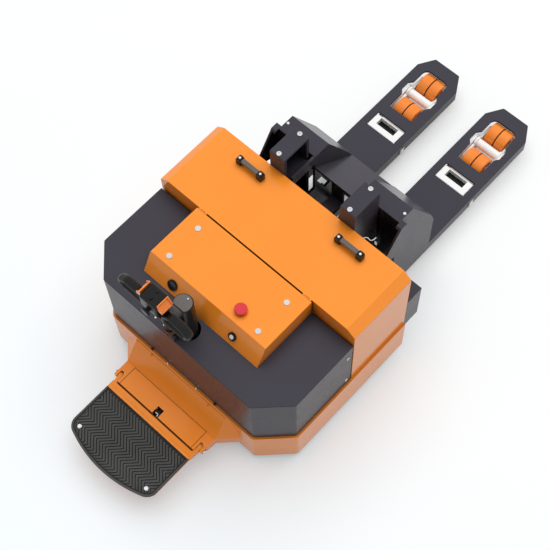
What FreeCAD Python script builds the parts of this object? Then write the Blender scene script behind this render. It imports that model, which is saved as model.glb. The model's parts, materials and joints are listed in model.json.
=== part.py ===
import FreeCAD, Part
import math
import os

V = FreeCAD.Vector
os.makedirs("parts", exist_ok=True)

# An electric pallet truck with a short pair of forks, a tiller and a folding step.
# Sizes are in millimetres. X runs from the seam between console and battery lid
# towards the fork tips, Y to the left and Z up from the floor.

# Clearances
fit = 0.05
gap = 0.5
seam = 3.0

# Body covers
body_half_width = 440.0
battery_length = 284.0
drive_length = 381.0
corner_cut = 104.0
corner_radius = 10.0
edge_radius = 3.0
sheet = 3.0
skirt_ledge = 8.0
skirt_wall = 4.0
skirt_flange = 18.0
skirt_bottom = 44.0
skirt_top = 224.0
cover_top = 525.0
body_top = 608.0
box_wall = 4.0
lid_height = 29.5
lid_slope = 35.0
lid_gap = 1.5
console_half_width = 259.0
console_length = 222.0
console_slope = 44.0
console_flange = 20.0

# Lid hinge and pull handles
knuckle_radius = 2.6
hinge_pin_radius = 1.2
knuckle_length = 18.0
hinge_leaf = 40.0
hinge_spacing = 235.0
handle_from_rear = 63.0
handle_mid = 223.0
handle_span = 94.0
handle_foot = 11.0
handle_height = 31.0
handle_round = 8.0
handle_bar_half = 9.0
handle_bar_low = 18.0
handle_bar_high = 29.0

# Console fittings
stop_x = -179.0
stop_y = -111.0
stop_head_radius = 21.5
stop_stem_radius = 11.0
stop_travel = 6.0
dial_y = 136.0
dial_drop = 7.0
gauge_radius = 20.0
gauge_body_radius = 14.0
key_ring_radius = 15.5
key_radius = 8.0
dial_height = 6.0
dial_depth = 24.0
console_screw_y = 200.0
console_screw_x = (-58.0, -194.0)
console_screw_radius = 10.5
screw_height = 3.0

# Chassis
deck_bottom = 265.0
deck_thickness = 12.0
deck_inset = 6.0
rail_width = 10.0
rail_bottom = 80.0
beam_width = 40.0
beam_bottom = 150.0
spine_height = 40.0
foot_thickness = 15.0
foot_margin = 8.0
anchor_rim = 10.0
rear_box_depth = 78.0
rear_box_low = 194.0
rear_box_high = 394.0
rear_box_wall = 6.0
rear_box_clear = 10.0

# Uprights and lift
upright_gap = 1.0
upright_depth = 123.0
upright_width = 66.0
upright_inner = 124.0
upright_wall = 12.0
upright_top = 699.0
cap_thickness = 9.0
cap_screw_radius = 9.0
cap_screw_height = 5.0
cap_screw_inset = 10.0
cap_socket_radius = 4.0
cap_socket_depth = 3.5
lift_travel = 110.0
cylinder_radius = 38.0
cylinder_height = 215.0
ram_radius = 22.0
crosshead_half = 26.0
crosshead_drop = 100.0

# Carriage
carriage_gap = 10.0
carriage_top = 584.0
carriage_plate = 10.0
carriage_top_length = 71.0
carriage_bend_x = 197.0
carriage_bend_z = 364.0
carriage_nose_x = 219.0
carriage_nose_z = 301.0
block_inner = 104.0
block_outer = 274.0
ramp_high = 512.0
ramp_low = 345.0
ramp_foot = 200.0
tongue_inset = 19.0
tongue_low = 300.0
tongue_high = 582.0
tongue_strip = 62.0
shoe_height = 40.0
arm_width = 22.0
arm_plate = 8.0
arm_reach = 100.0

# Forks
fork_overall = 545.0
fork_width = 200.0
fork_top = 105.0
fork_plate = 10.0
fork_wall = 8.0
fork_depth = 55.0
fork_reach = 654.0
fork_heel = 20.0
fork_rebate = 1.0
tip_taper = 66.0
tip_flat = 120.0
tip_rise = 25.0

# Load rollers and their linkage
bogie_from_tip = 167.5
roller_radius = 50.0
roller_core_radius = 36.0
roller_length = 44.0
roller_groove = 3.0
roller_spacing = 150.0
axle_radius = 12.5
bogie_rise = 16.0
bogie_plate_inner = 49.0
bogie_plate_thickness = 9.0
bogie_plate_radius = 24.0
sleeve_radius = 18.0
pin_radius = 12.0
lever_pin_radius = 10.0
lever_reach = 230.5
lever_z = 58.0
lever_half_width = 68.0
lever_arm_thickness = 8.0
lever_arm_height = 30.0
lever_eye_radius = 26.0
lever_back = 13.0
lever_front = 50.0
lever_recess = 3.0
push_arm = 27.0
push_pin_radius = 6.0
push_rod_width = 16.0
push_rod_height = 14.0
push_eye_radius = 11.0
push_slot = 4.0
push_play = 0.25
crank_from_carriage = 122.0
crank_shaft_radius = 15.0
crank_reach = 220.0
crank_arm_y = 30.0
crank_arm_width = 12.0
crank_arm_height = 26.0
crank_pin_radius = 8.0
window_margin = 2.0
window_end_margin = 8.0
opening_half = 58.0
opening_back = 123.5
opening_front = 106.5
notch_half = 72.5
notch_length = 37.0
notch_taper = 20.0

# Drive unit
drive_x = -170.0
wheel_radius = 115.0
wheel_width = 85.0
hub_radius = 90.0
drive_axle_radius = 18.0
turntable_radius = 100.0
turntable_thickness = 20.0
neck_radius = 80.0
neck_clear = 6.0
ring_radius = 112.0
ring_height = 20.0
motor_height = 195.0
motor_cap_height = 20.0
gearbox_width = 55.0
gearbox_half = 60.0

# Pump and controller inside the drive cover
pump_x = -290.0
pump_length = 210.0
pump_width = 200.0
pump_inset = 73.0
pump_tank_height = 150.0
pump_tank_width = 110.0
pump_motor_radius = 42.0
controller_x = -270.0
controller_length = 180.0
controller_width = 200.0
controller_inset = 63.0
controller_height = 60.0
controller_fin = 30.0
terminal_radius = 8.0

# Stabiliser castors
caster_x = -150.0
caster_inset = 155.0
caster_trail = 40.0
caster_radius = 75.0
caster_width = 45.0
caster_pin_radius = 16.0
caster_axle_radius = 8.0
caster_leg = 6.0
caster_plate = 110.0
caster_crown_z = 196.0
caster_crown_height = 20.0

# Tiller
column_x = -318.0
column_radius = 34.0
column_flat = 24.0
column_bottom = 470.0
column_top = 736.0
column_spigot_radius = 15.0
column_spigot = 50.0
column_hole_margin = 8.0
pedestal_radius = 28.0
pedestal_flange = 6.0
tilt_x = -378.0
tilt_z = 594.0
tilt_pin_radius = 8.0
lug_radius = 18.0
lug_inner = 12.0
lug_thickness = 8.0
arm_radius = 15.0
head_x = -414.0
head_low = 850.0
head_height = 109.0
head_half_width = 34.0
head_half_depth = 31.0
head_corner = 12.0
socket_depth = 25.0
grip_half = 15.0
grip_bar = 18.0
grip_out = 152.0
grip_drop = 4.0
grip_rise = 72.0
paddle_gap = 1.5
paddle_width = 19.0
paddle_half = 23.0
paddle_rise = 18.0
paddle_fall = 16.0
paddle_slope = 22.0
paddle_pocket = 11.0
paddle_web = 3.0
paddle_end = 3.5
paddle_axis_drop = 14.0
paddle_shaft_radius = 4.0
belly_radius = 16.0
belly_stem_radius = 8.0
belly_travel = 6.0
button_radius = 6.0
button_travel = 2.5

# Folding step
step_top = 126.0
carrier_run = 65.0
carrier_length = 79.0
carrier_half = 217.0
carrier_plate = 6.0
carrier_low = 60.0
carrier_wall = 8.0
carrier_skirt = 46.0
carrier_seam = 2.5
carrier_lip = 3.0
carrier_tray = 22.0
slot_lip = 11.0
cheek = 11.0
ear_slot = 17.0
ear_play = 1.5
step_hinge_back = 25.0
step_hinge_drop = 14.0
step_pin_radius = 6.0
ear_radius = 13.0
step_slot = 7.0
step_length = 255.0
step_bow = 25.0
step_corner = 40.0
step_strip = 28.0
step_depth = 28.0
step_edge_height = 10.0
step_rim = 3.0
step_frame_inset = 30.0
step_frame_wall = 5.0
mat_thickness = 6.0
latch_half = 9.0
latch_bay = 14.0
latch_travel = 8.0


# Shape helpers

def block(x0, x1, y0, y1, z0, z1):
    # A box between two limits on each axis, which may come in either order.
    low = V(min(x0, x1), min(y0, y1), min(z0, z1))
    return Part.makeBox(abs(x1 - x0), abs(y1 - y0), abs(z1 - z0), low)


def rod(radius, start, end):
    return Part.makeCylinder(radius, (end - start).Length, start, end - start)


def rod_y(radius, x, z, y0, y1):
    return rod(radius, V(x, y0, z), V(x, y1, z))


def rod_z(radius, x, y, z0, z1):
    return rod(radius, V(x, y, z0), V(x, y, z1))


def fused(shapes):
    whole = shapes[0]
    if len(shapes) > 1:
        whole = whole.multiFuse(shapes[1:])
    return whole.removeSplitter()


def mirrored(shape):
    return shape.mirror(V(0, 0, 0), V(0, 1, 0))


def pair(shape):
    return [shape, mirrored(shape)]


def across(point):
    return V(point.x, -point.y, point.z)


def rounded_wire(points, radii):
    # A closed outline whose corners are tangent arcs. A radius of 0 keeps a corner sharp.
    count = len(points)
    if not isinstance(radii, (list, tuple)):
        radii = [radii] * count
    entries = []
    for i in range(count):
        corner = points[i]
        back = (points[i - 1] - corner).normalize()
        ahead = (points[(i + 1) % count] - corner).normalize()
        half = back.getAngle(ahead) / 2
        if radii[i] <= 0:
            entries.append((corner, None, corner))
            continue
        run = radii[i] / math.tan(half)
        middle = (back + ahead).normalize() * (radii[i] / math.sin(half) - radii[i])
        entries.append((corner + back * run, corner + middle, corner + ahead * run))
    edges = []
    for i in range(count):
        first, middle, last = entries[i]
        before = entries[i - 1][2]
        if (first - before).Length > 1e-6:
            edges.append(Part.LineSegment(before, first).toShape())
        if middle is not None:
            edges.append(Part.Arc(first, middle, last).toShape())
    return Part.Wire(edges)


def prism(points, direction, radii=0):
    return Part.Face(rounded_wire(points, radii)).extrude(direction)


def prism_x(outline, x0, x1, radii=0):
    return prism([V(x0, y, z) for y, z in outline], V(x1 - x0, 0, 0), radii)


def prism_y(outline, y0, y1, radii=0):
    return prism([V(x, y0, z) for x, z in outline], V(0, y1 - y0, 0), radii)


def prism_z(outline, z0, z1, radii=0):
    return prism([V(x, y, z0) for x, y in outline], V(0, 0, z1 - z0), radii)


def revolved(outline, x, y, z):
    # Turns an outline of (radius, height) pairs about the vertical line through x, y.
    points = [V(x + r, y, z + h) for r, h in outline]
    face = Part.Face(Part.makePolygon(points + points[:1]))
    return face.revolve(V(x, y, z), V(0, 0, 1), 360)


def faceted(faces):
    # A closed solid from flat faces, each a list of its corners.
    sides = [Part.Face(Part.makePolygon(corners + corners[:1])) for corners in faces]
    return Part.Solid(Part.Shell(sides))


def softened(shape, radius, chosen):
    return shape.makeFillet(radius, [edge for edge in shape.Edges if chosen(edge.BoundBox)])


def link_y(x0, z0, r0, x1, z1, r1, y0, y1):
    # A flat link with round ends of two radii, standing across Y.
    run = math.hypot(x1 - x0, z1 - z0)
    along = V((x1 - x0) / run, 0, (z1 - z0) / run)
    lean = math.asin((r0 - r1) / run)
    up = V(-along.z, 0, along.x)
    side_a = along * math.sin(lean) + up * math.cos(lean)
    side_b = along * math.sin(lean) - up * math.cos(lean)
    first = V(x0, y0, z0)
    second = V(x1, y0, z1)
    corners = [first + side_a * r0, second + side_a * r1, second + side_b * r1, first + side_b * r0]
    web = Part.Face(Part.makePolygon(corners + corners[:1])).extrude(V(0, y1 - y0, 0))
    return fused([web, rod_y(r0, x0, z0, y0, y1), rod_y(r1, x1, z1, y0, y1)])


# Places worked out from the driving sizes

front_x = -drive_length
deck_top = deck_bottom + deck_thickness
lid_seam = body_top - lid_height
hinge_z = body_top - knuckle_radius
upright_x0 = battery_length + upright_gap
upright_x1 = upright_x0 + upright_depth
upright_outer = upright_inner + upright_width
spine_top = beam_bottom + spine_height
carriage_x = upright_x1 + carriage_gap
bend_x = carriage_x + carriage_bend_x
nose_x = carriage_x + carriage_nose_x
tip_x = nose_x + fork_reach
fork_outer = fork_overall / 2
fork_inner = fork_outer - fork_width
fork_mid = (fork_outer + fork_inner) / 2
fork_under = fork_top - fork_plate
fork_seat = fork_top - fork_rebate
fork_bottom = fork_top - fork_depth
bogie_x = tip_x - bogie_from_tip
bogie_z = roller_radius + bogie_rise
lever_x = bogie_x - lever_reach
lever_length = math.hypot(lever_reach, bogie_z - lever_z)
lever_start = math.asin((bogie_z - lever_z) / lever_length)
lift_turn = lever_start + math.asin((lift_travel - bogie_z + lever_z) / lever_length)
push_z = lever_z + push_arm
push_travel = push_arm * math.sin(lift_turn)
crank_x = carriage_x + crank_from_carriage
crank_z = push_z + push_arm
anchor_x = crank_x - crank_reach
cylinder_x = (upright_x0 + upright_x1) / 2
cylinder_bottom = beam_bottom + foot_thickness
crosshead_top = ramp_high - crosshead_drop
ram_top = crosshead_top - carriage_plate
skirt_front = front_x - skirt_ledge
carrier_x = skirt_front - carrier_run
carrier_end = carrier_x - carrier_length
step_hinge_x = carrier_end + step_hinge_back
step_hinge_z = step_top - step_hinge_drop
step_near = carrier_end - step_slot
step_half = carrier_half - cheek
step_edge = step_near - step_length
caster_y = body_half_width - caster_inset
head_high = head_low + head_height
arm_lean = math.atan2(tilt_x - head_x, head_high - tilt_z)
origin_x = (tip_x + step_edge) / 2


def body_plan(inset, rear):
    # The truck's plan with both front corners cut at 45 degrees, drawn in by an inset.
    half = body_half_width - inset
    front = front_x + inset
    slide = inset * (math.sqrt(2) - 1)
    side = front_x + corner_cut + slide
    nose = body_half_width - corner_cut - slide
    return [(rear, -half), (rear, half), (side, half), (front, nose), (front, -nose), (side, -half)]


def body_prism(inset, rear, z0, z1):
    round_corner = max(corner_radius - inset, 0.5)
    return prism_z(body_plan(inset, rear), z0, z1, [0, 0] + [round_corner] * 4)


def console_edge(z):
    # X of the console's sloping front at a height.
    return -console_length - console_slope * (body_top - z) / (body_top - cover_top)


console_rise = body_top - cover_top
slope_run = math.hypot(console_slope, console_rise)
slope_out = V(-console_rise / slope_run, 0, console_slope / slope_run)
dial_z = (body_top + cover_top) / 2 - dial_drop
dial_x = console_edge(dial_z)


# Body covers

def make_skirt():
    shell = body_prism(-skirt_ledge, battery_length, skirt_bottom, skirt_top)
    hollow = body_prism(skirt_wall - skirt_ledge, battery_length + 1, skirt_bottom - 1,
                        skirt_top - skirt_wall)
    mouth = body_prism(skirt_flange, battery_length + 1, skirt_bottom, skirt_top + 1)
    return shell.cut(hollow).cut(mouth)


def make_drive_cover():
    shell = body_prism(0, -seam, skirt_top, cover_top)
    rear = -seam
    shell = softened(shell, edge_radius, lambda b: b.ZMin > cover_top - 0.01 and b.XMin < rear - 0.01)
    hollow = body_prism(sheet, 0, skirt_top - 1, cover_top - sheet)
    under_console = console_half_width - console_flange
    mouth = block(console_edge(cover_top) + console_flange, 0, -under_console, under_console,
                  cover_top - sheet - 1, cover_top + 1)
    column_hole = rod_z(column_radius + column_hole_margin, column_x, 0, cover_top - sheet - 1, cover_top + 1)
    return shell.cut(hollow).cut(mouth).cut(column_hole)


def make_console():
    outline = [(-seam, cover_top), (-seam, body_top), (-console_length, body_top),
               (console_edge(cover_top), cover_top)]
    shell = prism_y(outline, -console_half_width, console_half_width)
    shell = softened(shell, sheet, lambda b: b.ZMin > body_top - 0.01 and b.XMin < -seam - 0.01)
    shift = sheet * slope_run / console_rise
    inner_top = body_top - sheet
    inner_low = cover_top - 1
    inside = [(-seam - sheet, inner_low), (-seam - sheet, inner_top),
              (console_edge(inner_top) + shift, inner_top), (console_edge(inner_low) + shift, inner_low)]
    inner_half = console_half_width - sheet
    shell = shell.cut(prism_y(inside, -inner_half, inner_half))
    shell = shell.cut(rod_z(stop_stem_radius + fit, stop_x, stop_y, inner_top - 1, body_top + 1))
    for y in (-dial_y, dial_y):
        centre = V(dial_x, y, dial_z)
        hole = rod(gauge_body_radius + fit, centre - slope_out * dial_depth, centre + slope_out * dial_depth)
        shell = shell.cut(hole)
    return shell


def make_battery_box():
    outer = block(seam, battery_length, -body_half_width, body_half_width, skirt_top, lid_seam)
    inner_half = body_half_width - box_wall
    hollow = block(seam + box_wall, battery_length - box_wall, -inner_half, inner_half,
                   skirt_top + box_wall, lid_seam + 1)
    shapes = [outer.cut(hollow)]
    leaf_back = seam - gap
    for middle in (-hinge_spacing, hinge_spacing):
        y0 = middle - knuckle_length / 2
        y1 = middle + knuckle_length / 2
        lower = block(1, seam, y0, y1, lid_seam - hinge_leaf, lid_seam)
        upper = block(1, leaf_back, y0, y1, lid_seam, hinge_z)
        knuckle = rod_y(knuckle_radius, 0, hinge_z, y0, y1)
        shapes += [lower, upper, knuckle]
    box = fused(shapes)
    return box.cut(rod_y(hinge_pin_radius + fit, 0, hinge_z, -body_half_width, body_half_width))


def lid_outline(inset):
    low = lid_seam + lid_gap
    rise = body_top - low
    shift = inset * math.hypot(lid_slope, rise) / rise
    half = body_half_width - shift
    top = body_top - inset
    narrow = half - lid_slope * (top - low) / rise
    if inset > 0:
        low = low - 1
        half = half + lid_slope / rise
    return [(-half, low), (-narrow, top), (narrow, top), (half, low)]


def make_battery_lid():
    shell = prism_x(lid_outline(0), seam, battery_length)
    shell = softened(shell, sheet, lambda b: b.ZMin > body_top - 0.01 and b.YMax - b.YMin < 0.01)
    shell = shell.cut(prism_x(lid_outline(sheet), seam + sheet, battery_length - sheet))
    shapes = [shell]
    half_knuckle = knuckle_length / 2
    for middle in (-hinge_spacing, hinge_spacing):
        for side in (-1, 1):
            near = middle + side * (half_knuckle + gap)
            far = near + side * half_knuckle
            y0 = min(near, far)
            y1 = max(near, far)
            web = block(0, seam + sheet, y0, y1, hinge_z, body_top - gap)
            shapes += [web, rod_y(knuckle_radius, 0, hinge_z, y0, y1)]
    lid = fused(shapes)
    return lid.cut(rod_y(hinge_pin_radius + fit, 0, hinge_z, -body_half_width, body_half_width))


def make_lid_hinge_pins():
    half = knuckle_length + gap
    middles = (-hinge_spacing, hinge_spacing)
    return [rod_y(hinge_pin_radius, 0, hinge_z, m - half, m + half) for m in middles]


handle_x = battery_length - handle_from_rear


def make_handle_feet():
    feet = []
    for middle in (-handle_mid, handle_mid):
        for side in (-1, 1):
            y = middle + side * handle_span / 2
            y0 = y - handle_foot
            y1 = y + handle_foot
            top = body_top + handle_height
            feet.append(prism_x([(y0, body_top), (y1, body_top), (y1, top), (y0, top)],
                                handle_x - handle_foot, handle_x + handle_foot,
                                [0, 0, handle_round, handle_round]))
    return feet


def make_handle_bars():
    half = handle_span / 2 - handle_foot
    bars = []
    for middle in (-handle_mid, handle_mid):
        bar = block(handle_x - handle_bar_half, handle_x + handle_bar_half, middle - half, middle + half,
                    body_top + handle_bar_low, body_top + handle_bar_high)
        bars.append(softened(bar, sheet, lambda b: b.YMax - b.YMin > half))
    return bars


def make_battery_pack():
    inset = box_wall + 5
    half = body_half_width - inset
    crown = lid_seam - 45
    shapes = [block(seam + inset, battery_length - inset, -half, half, skirt_top + box_wall, crown)]
    cells = 12
    pitch = 2 * half / cells
    for row in (0.3, 0.7):
        x = seam + row * (battery_length - seam)
        for i in range(cells):
            shapes.append(rod_z(pitch * 0.26, x, (i + 0.5) * pitch - half, crown, crown + 8))
    for row in (0.45, 0.55):
        x = seam + row * (battery_length - seam)
        shapes.append(block(x - 5, x + 5, pitch / 2 - half, half - pitch / 2, crown, crown + 5))
    return fused(shapes)


# Console fittings

def make_stop_button():
    low = stop_travel + 2
    outline = [(0, -30), (stop_stem_radius, -30), (stop_stem_radius, low), (stop_head_radius - 3, low),
               (stop_head_radius, low + 3), (stop_head_radius, low + 12), (stop_head_radius - 2, low + 14),
               (0, low + 14)]
    return revolved(outline, stop_x, stop_y, body_top)


def make_dial(side, ring_radius_here, bore):
    centre = V(dial_x, side * dial_y, dial_z)
    bezel = rod(ring_radius_here, centre, centre + slope_out * dial_height)
    barrel = rod(gauge_body_radius, centre - slope_out * dial_depth, centre)
    dial = fused([bezel, barrel])
    if bore:
        floor = centre - slope_out * (dial_depth - 4)
        dial = dial.cut(rod(bore, floor, centre + slope_out * (dial_height + 1)))
    return dial


def make_charge_gauge():
    centre = V(dial_x, dial_y, dial_z)
    glass = centre + slope_out * (dial_height - 2)
    dish = rod(gauge_radius - 3, glass, centre + slope_out * (dial_height + 1))
    return make_dial(1, gauge_radius, 0).cut(dish)


def make_key_barrel():
    centre = V(dial_x, -dial_y, dial_z)
    top = centre + slope_out * (dial_height + 2)
    barrel = rod(key_radius, centre - slope_out * (dial_depth - 5), top)
    slot = Part.makeBox(1.6, 2 * key_radius - 5, 5, V(-0.8, 2.5 - key_radius, -4))
    turn = FreeCAD.Rotation(V(0, 0, 1), slope_out)
    slot.Placement = FreeCAD.Placement(top, turn).multiply(slot.Placement)
    return barrel.cut(slot)


cap_screw_y = (upright_inner + upright_outer) / 2


def screw_head(radius, x, y, low, high):
    return softened(rod_z(radius, x, y, low, high), 1.2, lambda b: b.ZMin > high - 0.01)


def make_body_screws():
    screws = []
    for x in console_screw_x:
        for y in (-console_screw_y, console_screw_y):
            screws.append(screw_head(console_screw_radius, x, y, body_top, body_top + screw_height))
    head_top = upright_top + cap_screw_height
    for x in (upright_x0 + cap_screw_inset, upright_x1 - cap_screw_inset):
        for y in (-cap_screw_y, cap_screw_y):
            head = screw_head(cap_screw_radius, x, y, upright_top, head_top)
            screws.append(head.cut(rod_z(cap_socket_radius, x, y, head_top - cap_socket_depth, head_top + 1)))
    return screws


# Chassis

deck_rear = -seam - deck_inset
rail_outer = body_half_width - skirt_flange
rail_inner = rail_outer - rail_width
rail_rear = battery_length - beam_width


def make_deck():
    plate = body_prism(deck_inset, deck_rear, deck_bottom, deck_top)
    plate = plate.cut(rod_z(neck_radius + neck_clear, drive_x, 0, deck_bottom - 1, deck_top + 1))
    half = caster_plate / 2
    under = deck_bottom - deck_thickness
    pad = block(caster_x - half, caster_x + half, caster_y - half, caster_y + half, under, deck_bottom)
    king_pin = rod_z(caster_pin_radius, caster_x, caster_y, caster_crown_z, under)
    return [plate] + pair(pad) + pair(king_pin)


def make_chassis_rails():
    rail_front = front_x + corner_cut + rail_width
    front_rail = block(rail_front, deck_rear, rail_inner, rail_outer, rail_bottom, deck_bottom)
    rear_rail = block(deck_rear, rail_rear, rail_inner, rail_outer, rail_bottom, skirt_top)
    nose = body_half_width - corner_cut - 2 * rail_width
    beam_x = front_x + skirt_flange
    nose_beam = block(beam_x, beam_x + rail_width, -nose, nose, rail_bottom, deck_bottom)
    return pair(front_rail) + pair(rear_rail) + [nose_beam]


def make_chassis_beams():
    # Two cross beams, a pair of spines that carry the uprights, and the lift cylinder's foot.
    first_end = seam + beam_width
    shapes = [block(seam, first_end, -rail_inner, rail_inner, beam_bottom, skirt_top),
              block(rail_rear, battery_length, -rail_outer, rail_outer, beam_bottom, skirt_top)]
    shapes += pair(block(first_end, rail_rear, upright_inner, upright_outer, beam_bottom, spine_top))
    shapes += pair(block(battery_length, upright_x1, upright_inner, upright_outer, beam_bottom, spine_top))
    foot_half = cylinder_radius + foot_margin
    foot = block(cylinder_x - foot_half, cylinder_x + foot_half, -upright_inner, upright_inner,
                 beam_bottom, cylinder_bottom)
    relief = block(cylinder_x + ram_radius, cylinder_x + foot_half + 1, crank_arm_y - 3,
                   crank_arm_y + crank_arm_width + 3, beam_bottom - 1, cylinder_bottom + 1)
    shapes.append(foot.cut(relief).cut(mirrored(relief)))
    # The crank's end pins slide along level slots in two plates below the foot.
    reach = crank_pin_radius + gap
    slot_x0 = anchor_x - reach
    slot_x1 = anchor_x + crank_reach * (1 - math.cos(lift_turn)) + reach
    slot_z0 = crank_z - reach
    slot_z1 = crank_z + max(lift_travel - crank_reach * math.sin(lift_turn), 0) + reach + 2 * gap
    y0 = block_inner - 4
    y1 = y0 + carriage_plate
    anchor = block(slot_x0 - anchor_rim, slot_x1 + anchor_rim, y0, y1, slot_z0 - anchor_rim, beam_bottom)
    return shapes + pair(anchor.cut(block(slot_x0, slot_x1, y0 - 1, y1 + 1, slot_z0, slot_z1)))


def make_rear_boxes():
    box_inner = upright_outer + rear_box_clear
    box = block(battery_length, battery_length + rear_box_depth, box_inner, body_half_width,
                rear_box_low, rear_box_high)
    box = softened(box, edge_radius, lambda b: b.XMin > battery_length + 0.01)
    inside = block(battery_length + rear_box_wall, battery_length + rear_box_depth - rear_box_wall,
                   box_inner + rear_box_wall, body_half_width - rear_box_wall,
                   rear_box_low - 1, rear_box_high - rear_box_wall)
    return pair(box.cut(inside))


def make_steer_pedestal():
    tube = rod_z(pedestal_radius, column_x, 0, deck_top, column_bottom - gap)
    flange = rod_z(pedestal_radius + pedestal_flange, column_x, 0, deck_top, deck_top + deck_thickness)
    spigot_floor = column_bottom - column_spigot - 5
    bore = rod_z(column_spigot_radius + fit, column_x, 0, spigot_floor, column_bottom)
    return fused([tube, flange]).cut(bore)


def make_upright():
    y0 = upright_inner
    y1 = upright_outer
    low = spine_top
    top = upright_top - cap_thickness
    channel = block(upright_x0, upright_x1, y0, y1, low, top)
    groove = block(upright_x0 + upright_wall, upright_x1 - upright_wall, y0 - 1, y1 - upright_wall,
                   low - 1, top + 1)
    cap = block(upright_x0, upright_x1, y0, y1, top, upright_top)
    return [channel.cut(groove), softened(cap, 2, lambda b: b.ZMin > upright_top - 0.01)]


def make_lift_cylinder():
    barrel = rod_z(cylinder_radius, cylinder_x, 0, cylinder_bottom, cylinder_bottom + cylinder_height)
    gland = rod_z(cylinder_radius + 5, cylinder_x, 0, cylinder_bottom + cylinder_height - 30,
                  cylinder_bottom + cylinder_height)
    port_z = cylinder_bottom + 25
    port = rod(9, V(cylinder_x, 0, port_z), V(cylinder_x, cylinder_radius + 14, port_z))
    bore = rod_z(ram_radius + fit, cylinder_x, 0, cylinder_bottom + 12, cylinder_bottom + cylinder_height + 1)
    return fused([barrel, gland, port]).cut(bore)


def make_lift_ram():
    return rod_z(ram_radius, cylinder_x, 0, cylinder_bottom + 15, ram_top)


def make_pump_unit():
    y1 = body_half_width - pump_inset
    y0 = y1 - pump_width
    x1 = pump_x + pump_length
    valve_x = x1 - 25
    tank_y = y1 - pump_tank_width
    tank_top = deck_top + pump_tank_height
    tank = block(pump_x, x1, tank_y, y1, deck_top, tank_top)
    tank = softened(tank, 8, lambda b: b.ZMax - b.ZMin > pump_tank_height / 2)
    motor_y = tank_y - pump_motor_radius - 3
    motor_z = deck_top + pump_motor_radius + 13
    motor = rod(pump_motor_radius, V(pump_x + 35, motor_y, motor_z), V(valve_x, motor_y, motor_z))
    valve = block(valve_x, x1, y0 + 10, tank_y, deck_top, deck_top + pump_tank_height * 2 / 3)
    saddle = block(pump_x + 60, valve_x - 25, y0 + 20, tank_y, deck_top, deck_top + 30)
    filler = rod_z(16, pump_x + pump_length / 2, y1 - 40, tank_top, tank_top + 18)
    return fused([tank, motor, valve, saddle, filler])


def make_motor_controller():
    y0 = controller_inset - body_half_width
    y1 = y0 + controller_width
    x1 = controller_x + controller_length
    top = deck_top + controller_height
    shapes = [block(controller_x, x1, y0, y1, deck_top, top)]
    fins = 8
    for i in range(fins):
        y = y0 + (i + 0.5) * controller_width / fins
        shapes.append(block(controller_x, x1, y - 4, y + 4, top, top + controller_fin))
    terminals = 3
    for i in range(terminals):
        x = controller_x + (i + 0.6) * controller_length / 5
        z = deck_top + controller_height / 2
        shapes.append(rod(terminal_radius, V(x, y1, z), V(x, y1 + 16, z)))
    return fused(shapes)


# Carriage and forks

def block_outline(inset):
    # Side outline of one carriage block; an inset draws the sheet's inner face.
    top = carriage_top - inset
    nose = nose_x - inset
    low = fork_seat
    near = carriage_x
    shift = inset * 0.55
    top_far = carriage_x + carriage_top_length - shift
    if inset > 0:
        low = fork_seat - 1
        near = carriage_x - 1
    return [(near, low), (near, top), (top_far, top), (bend_x - inset, carriage_bend_z - shift),
            (nose, carriage_nose_z - shift), (nose, low)]


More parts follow.
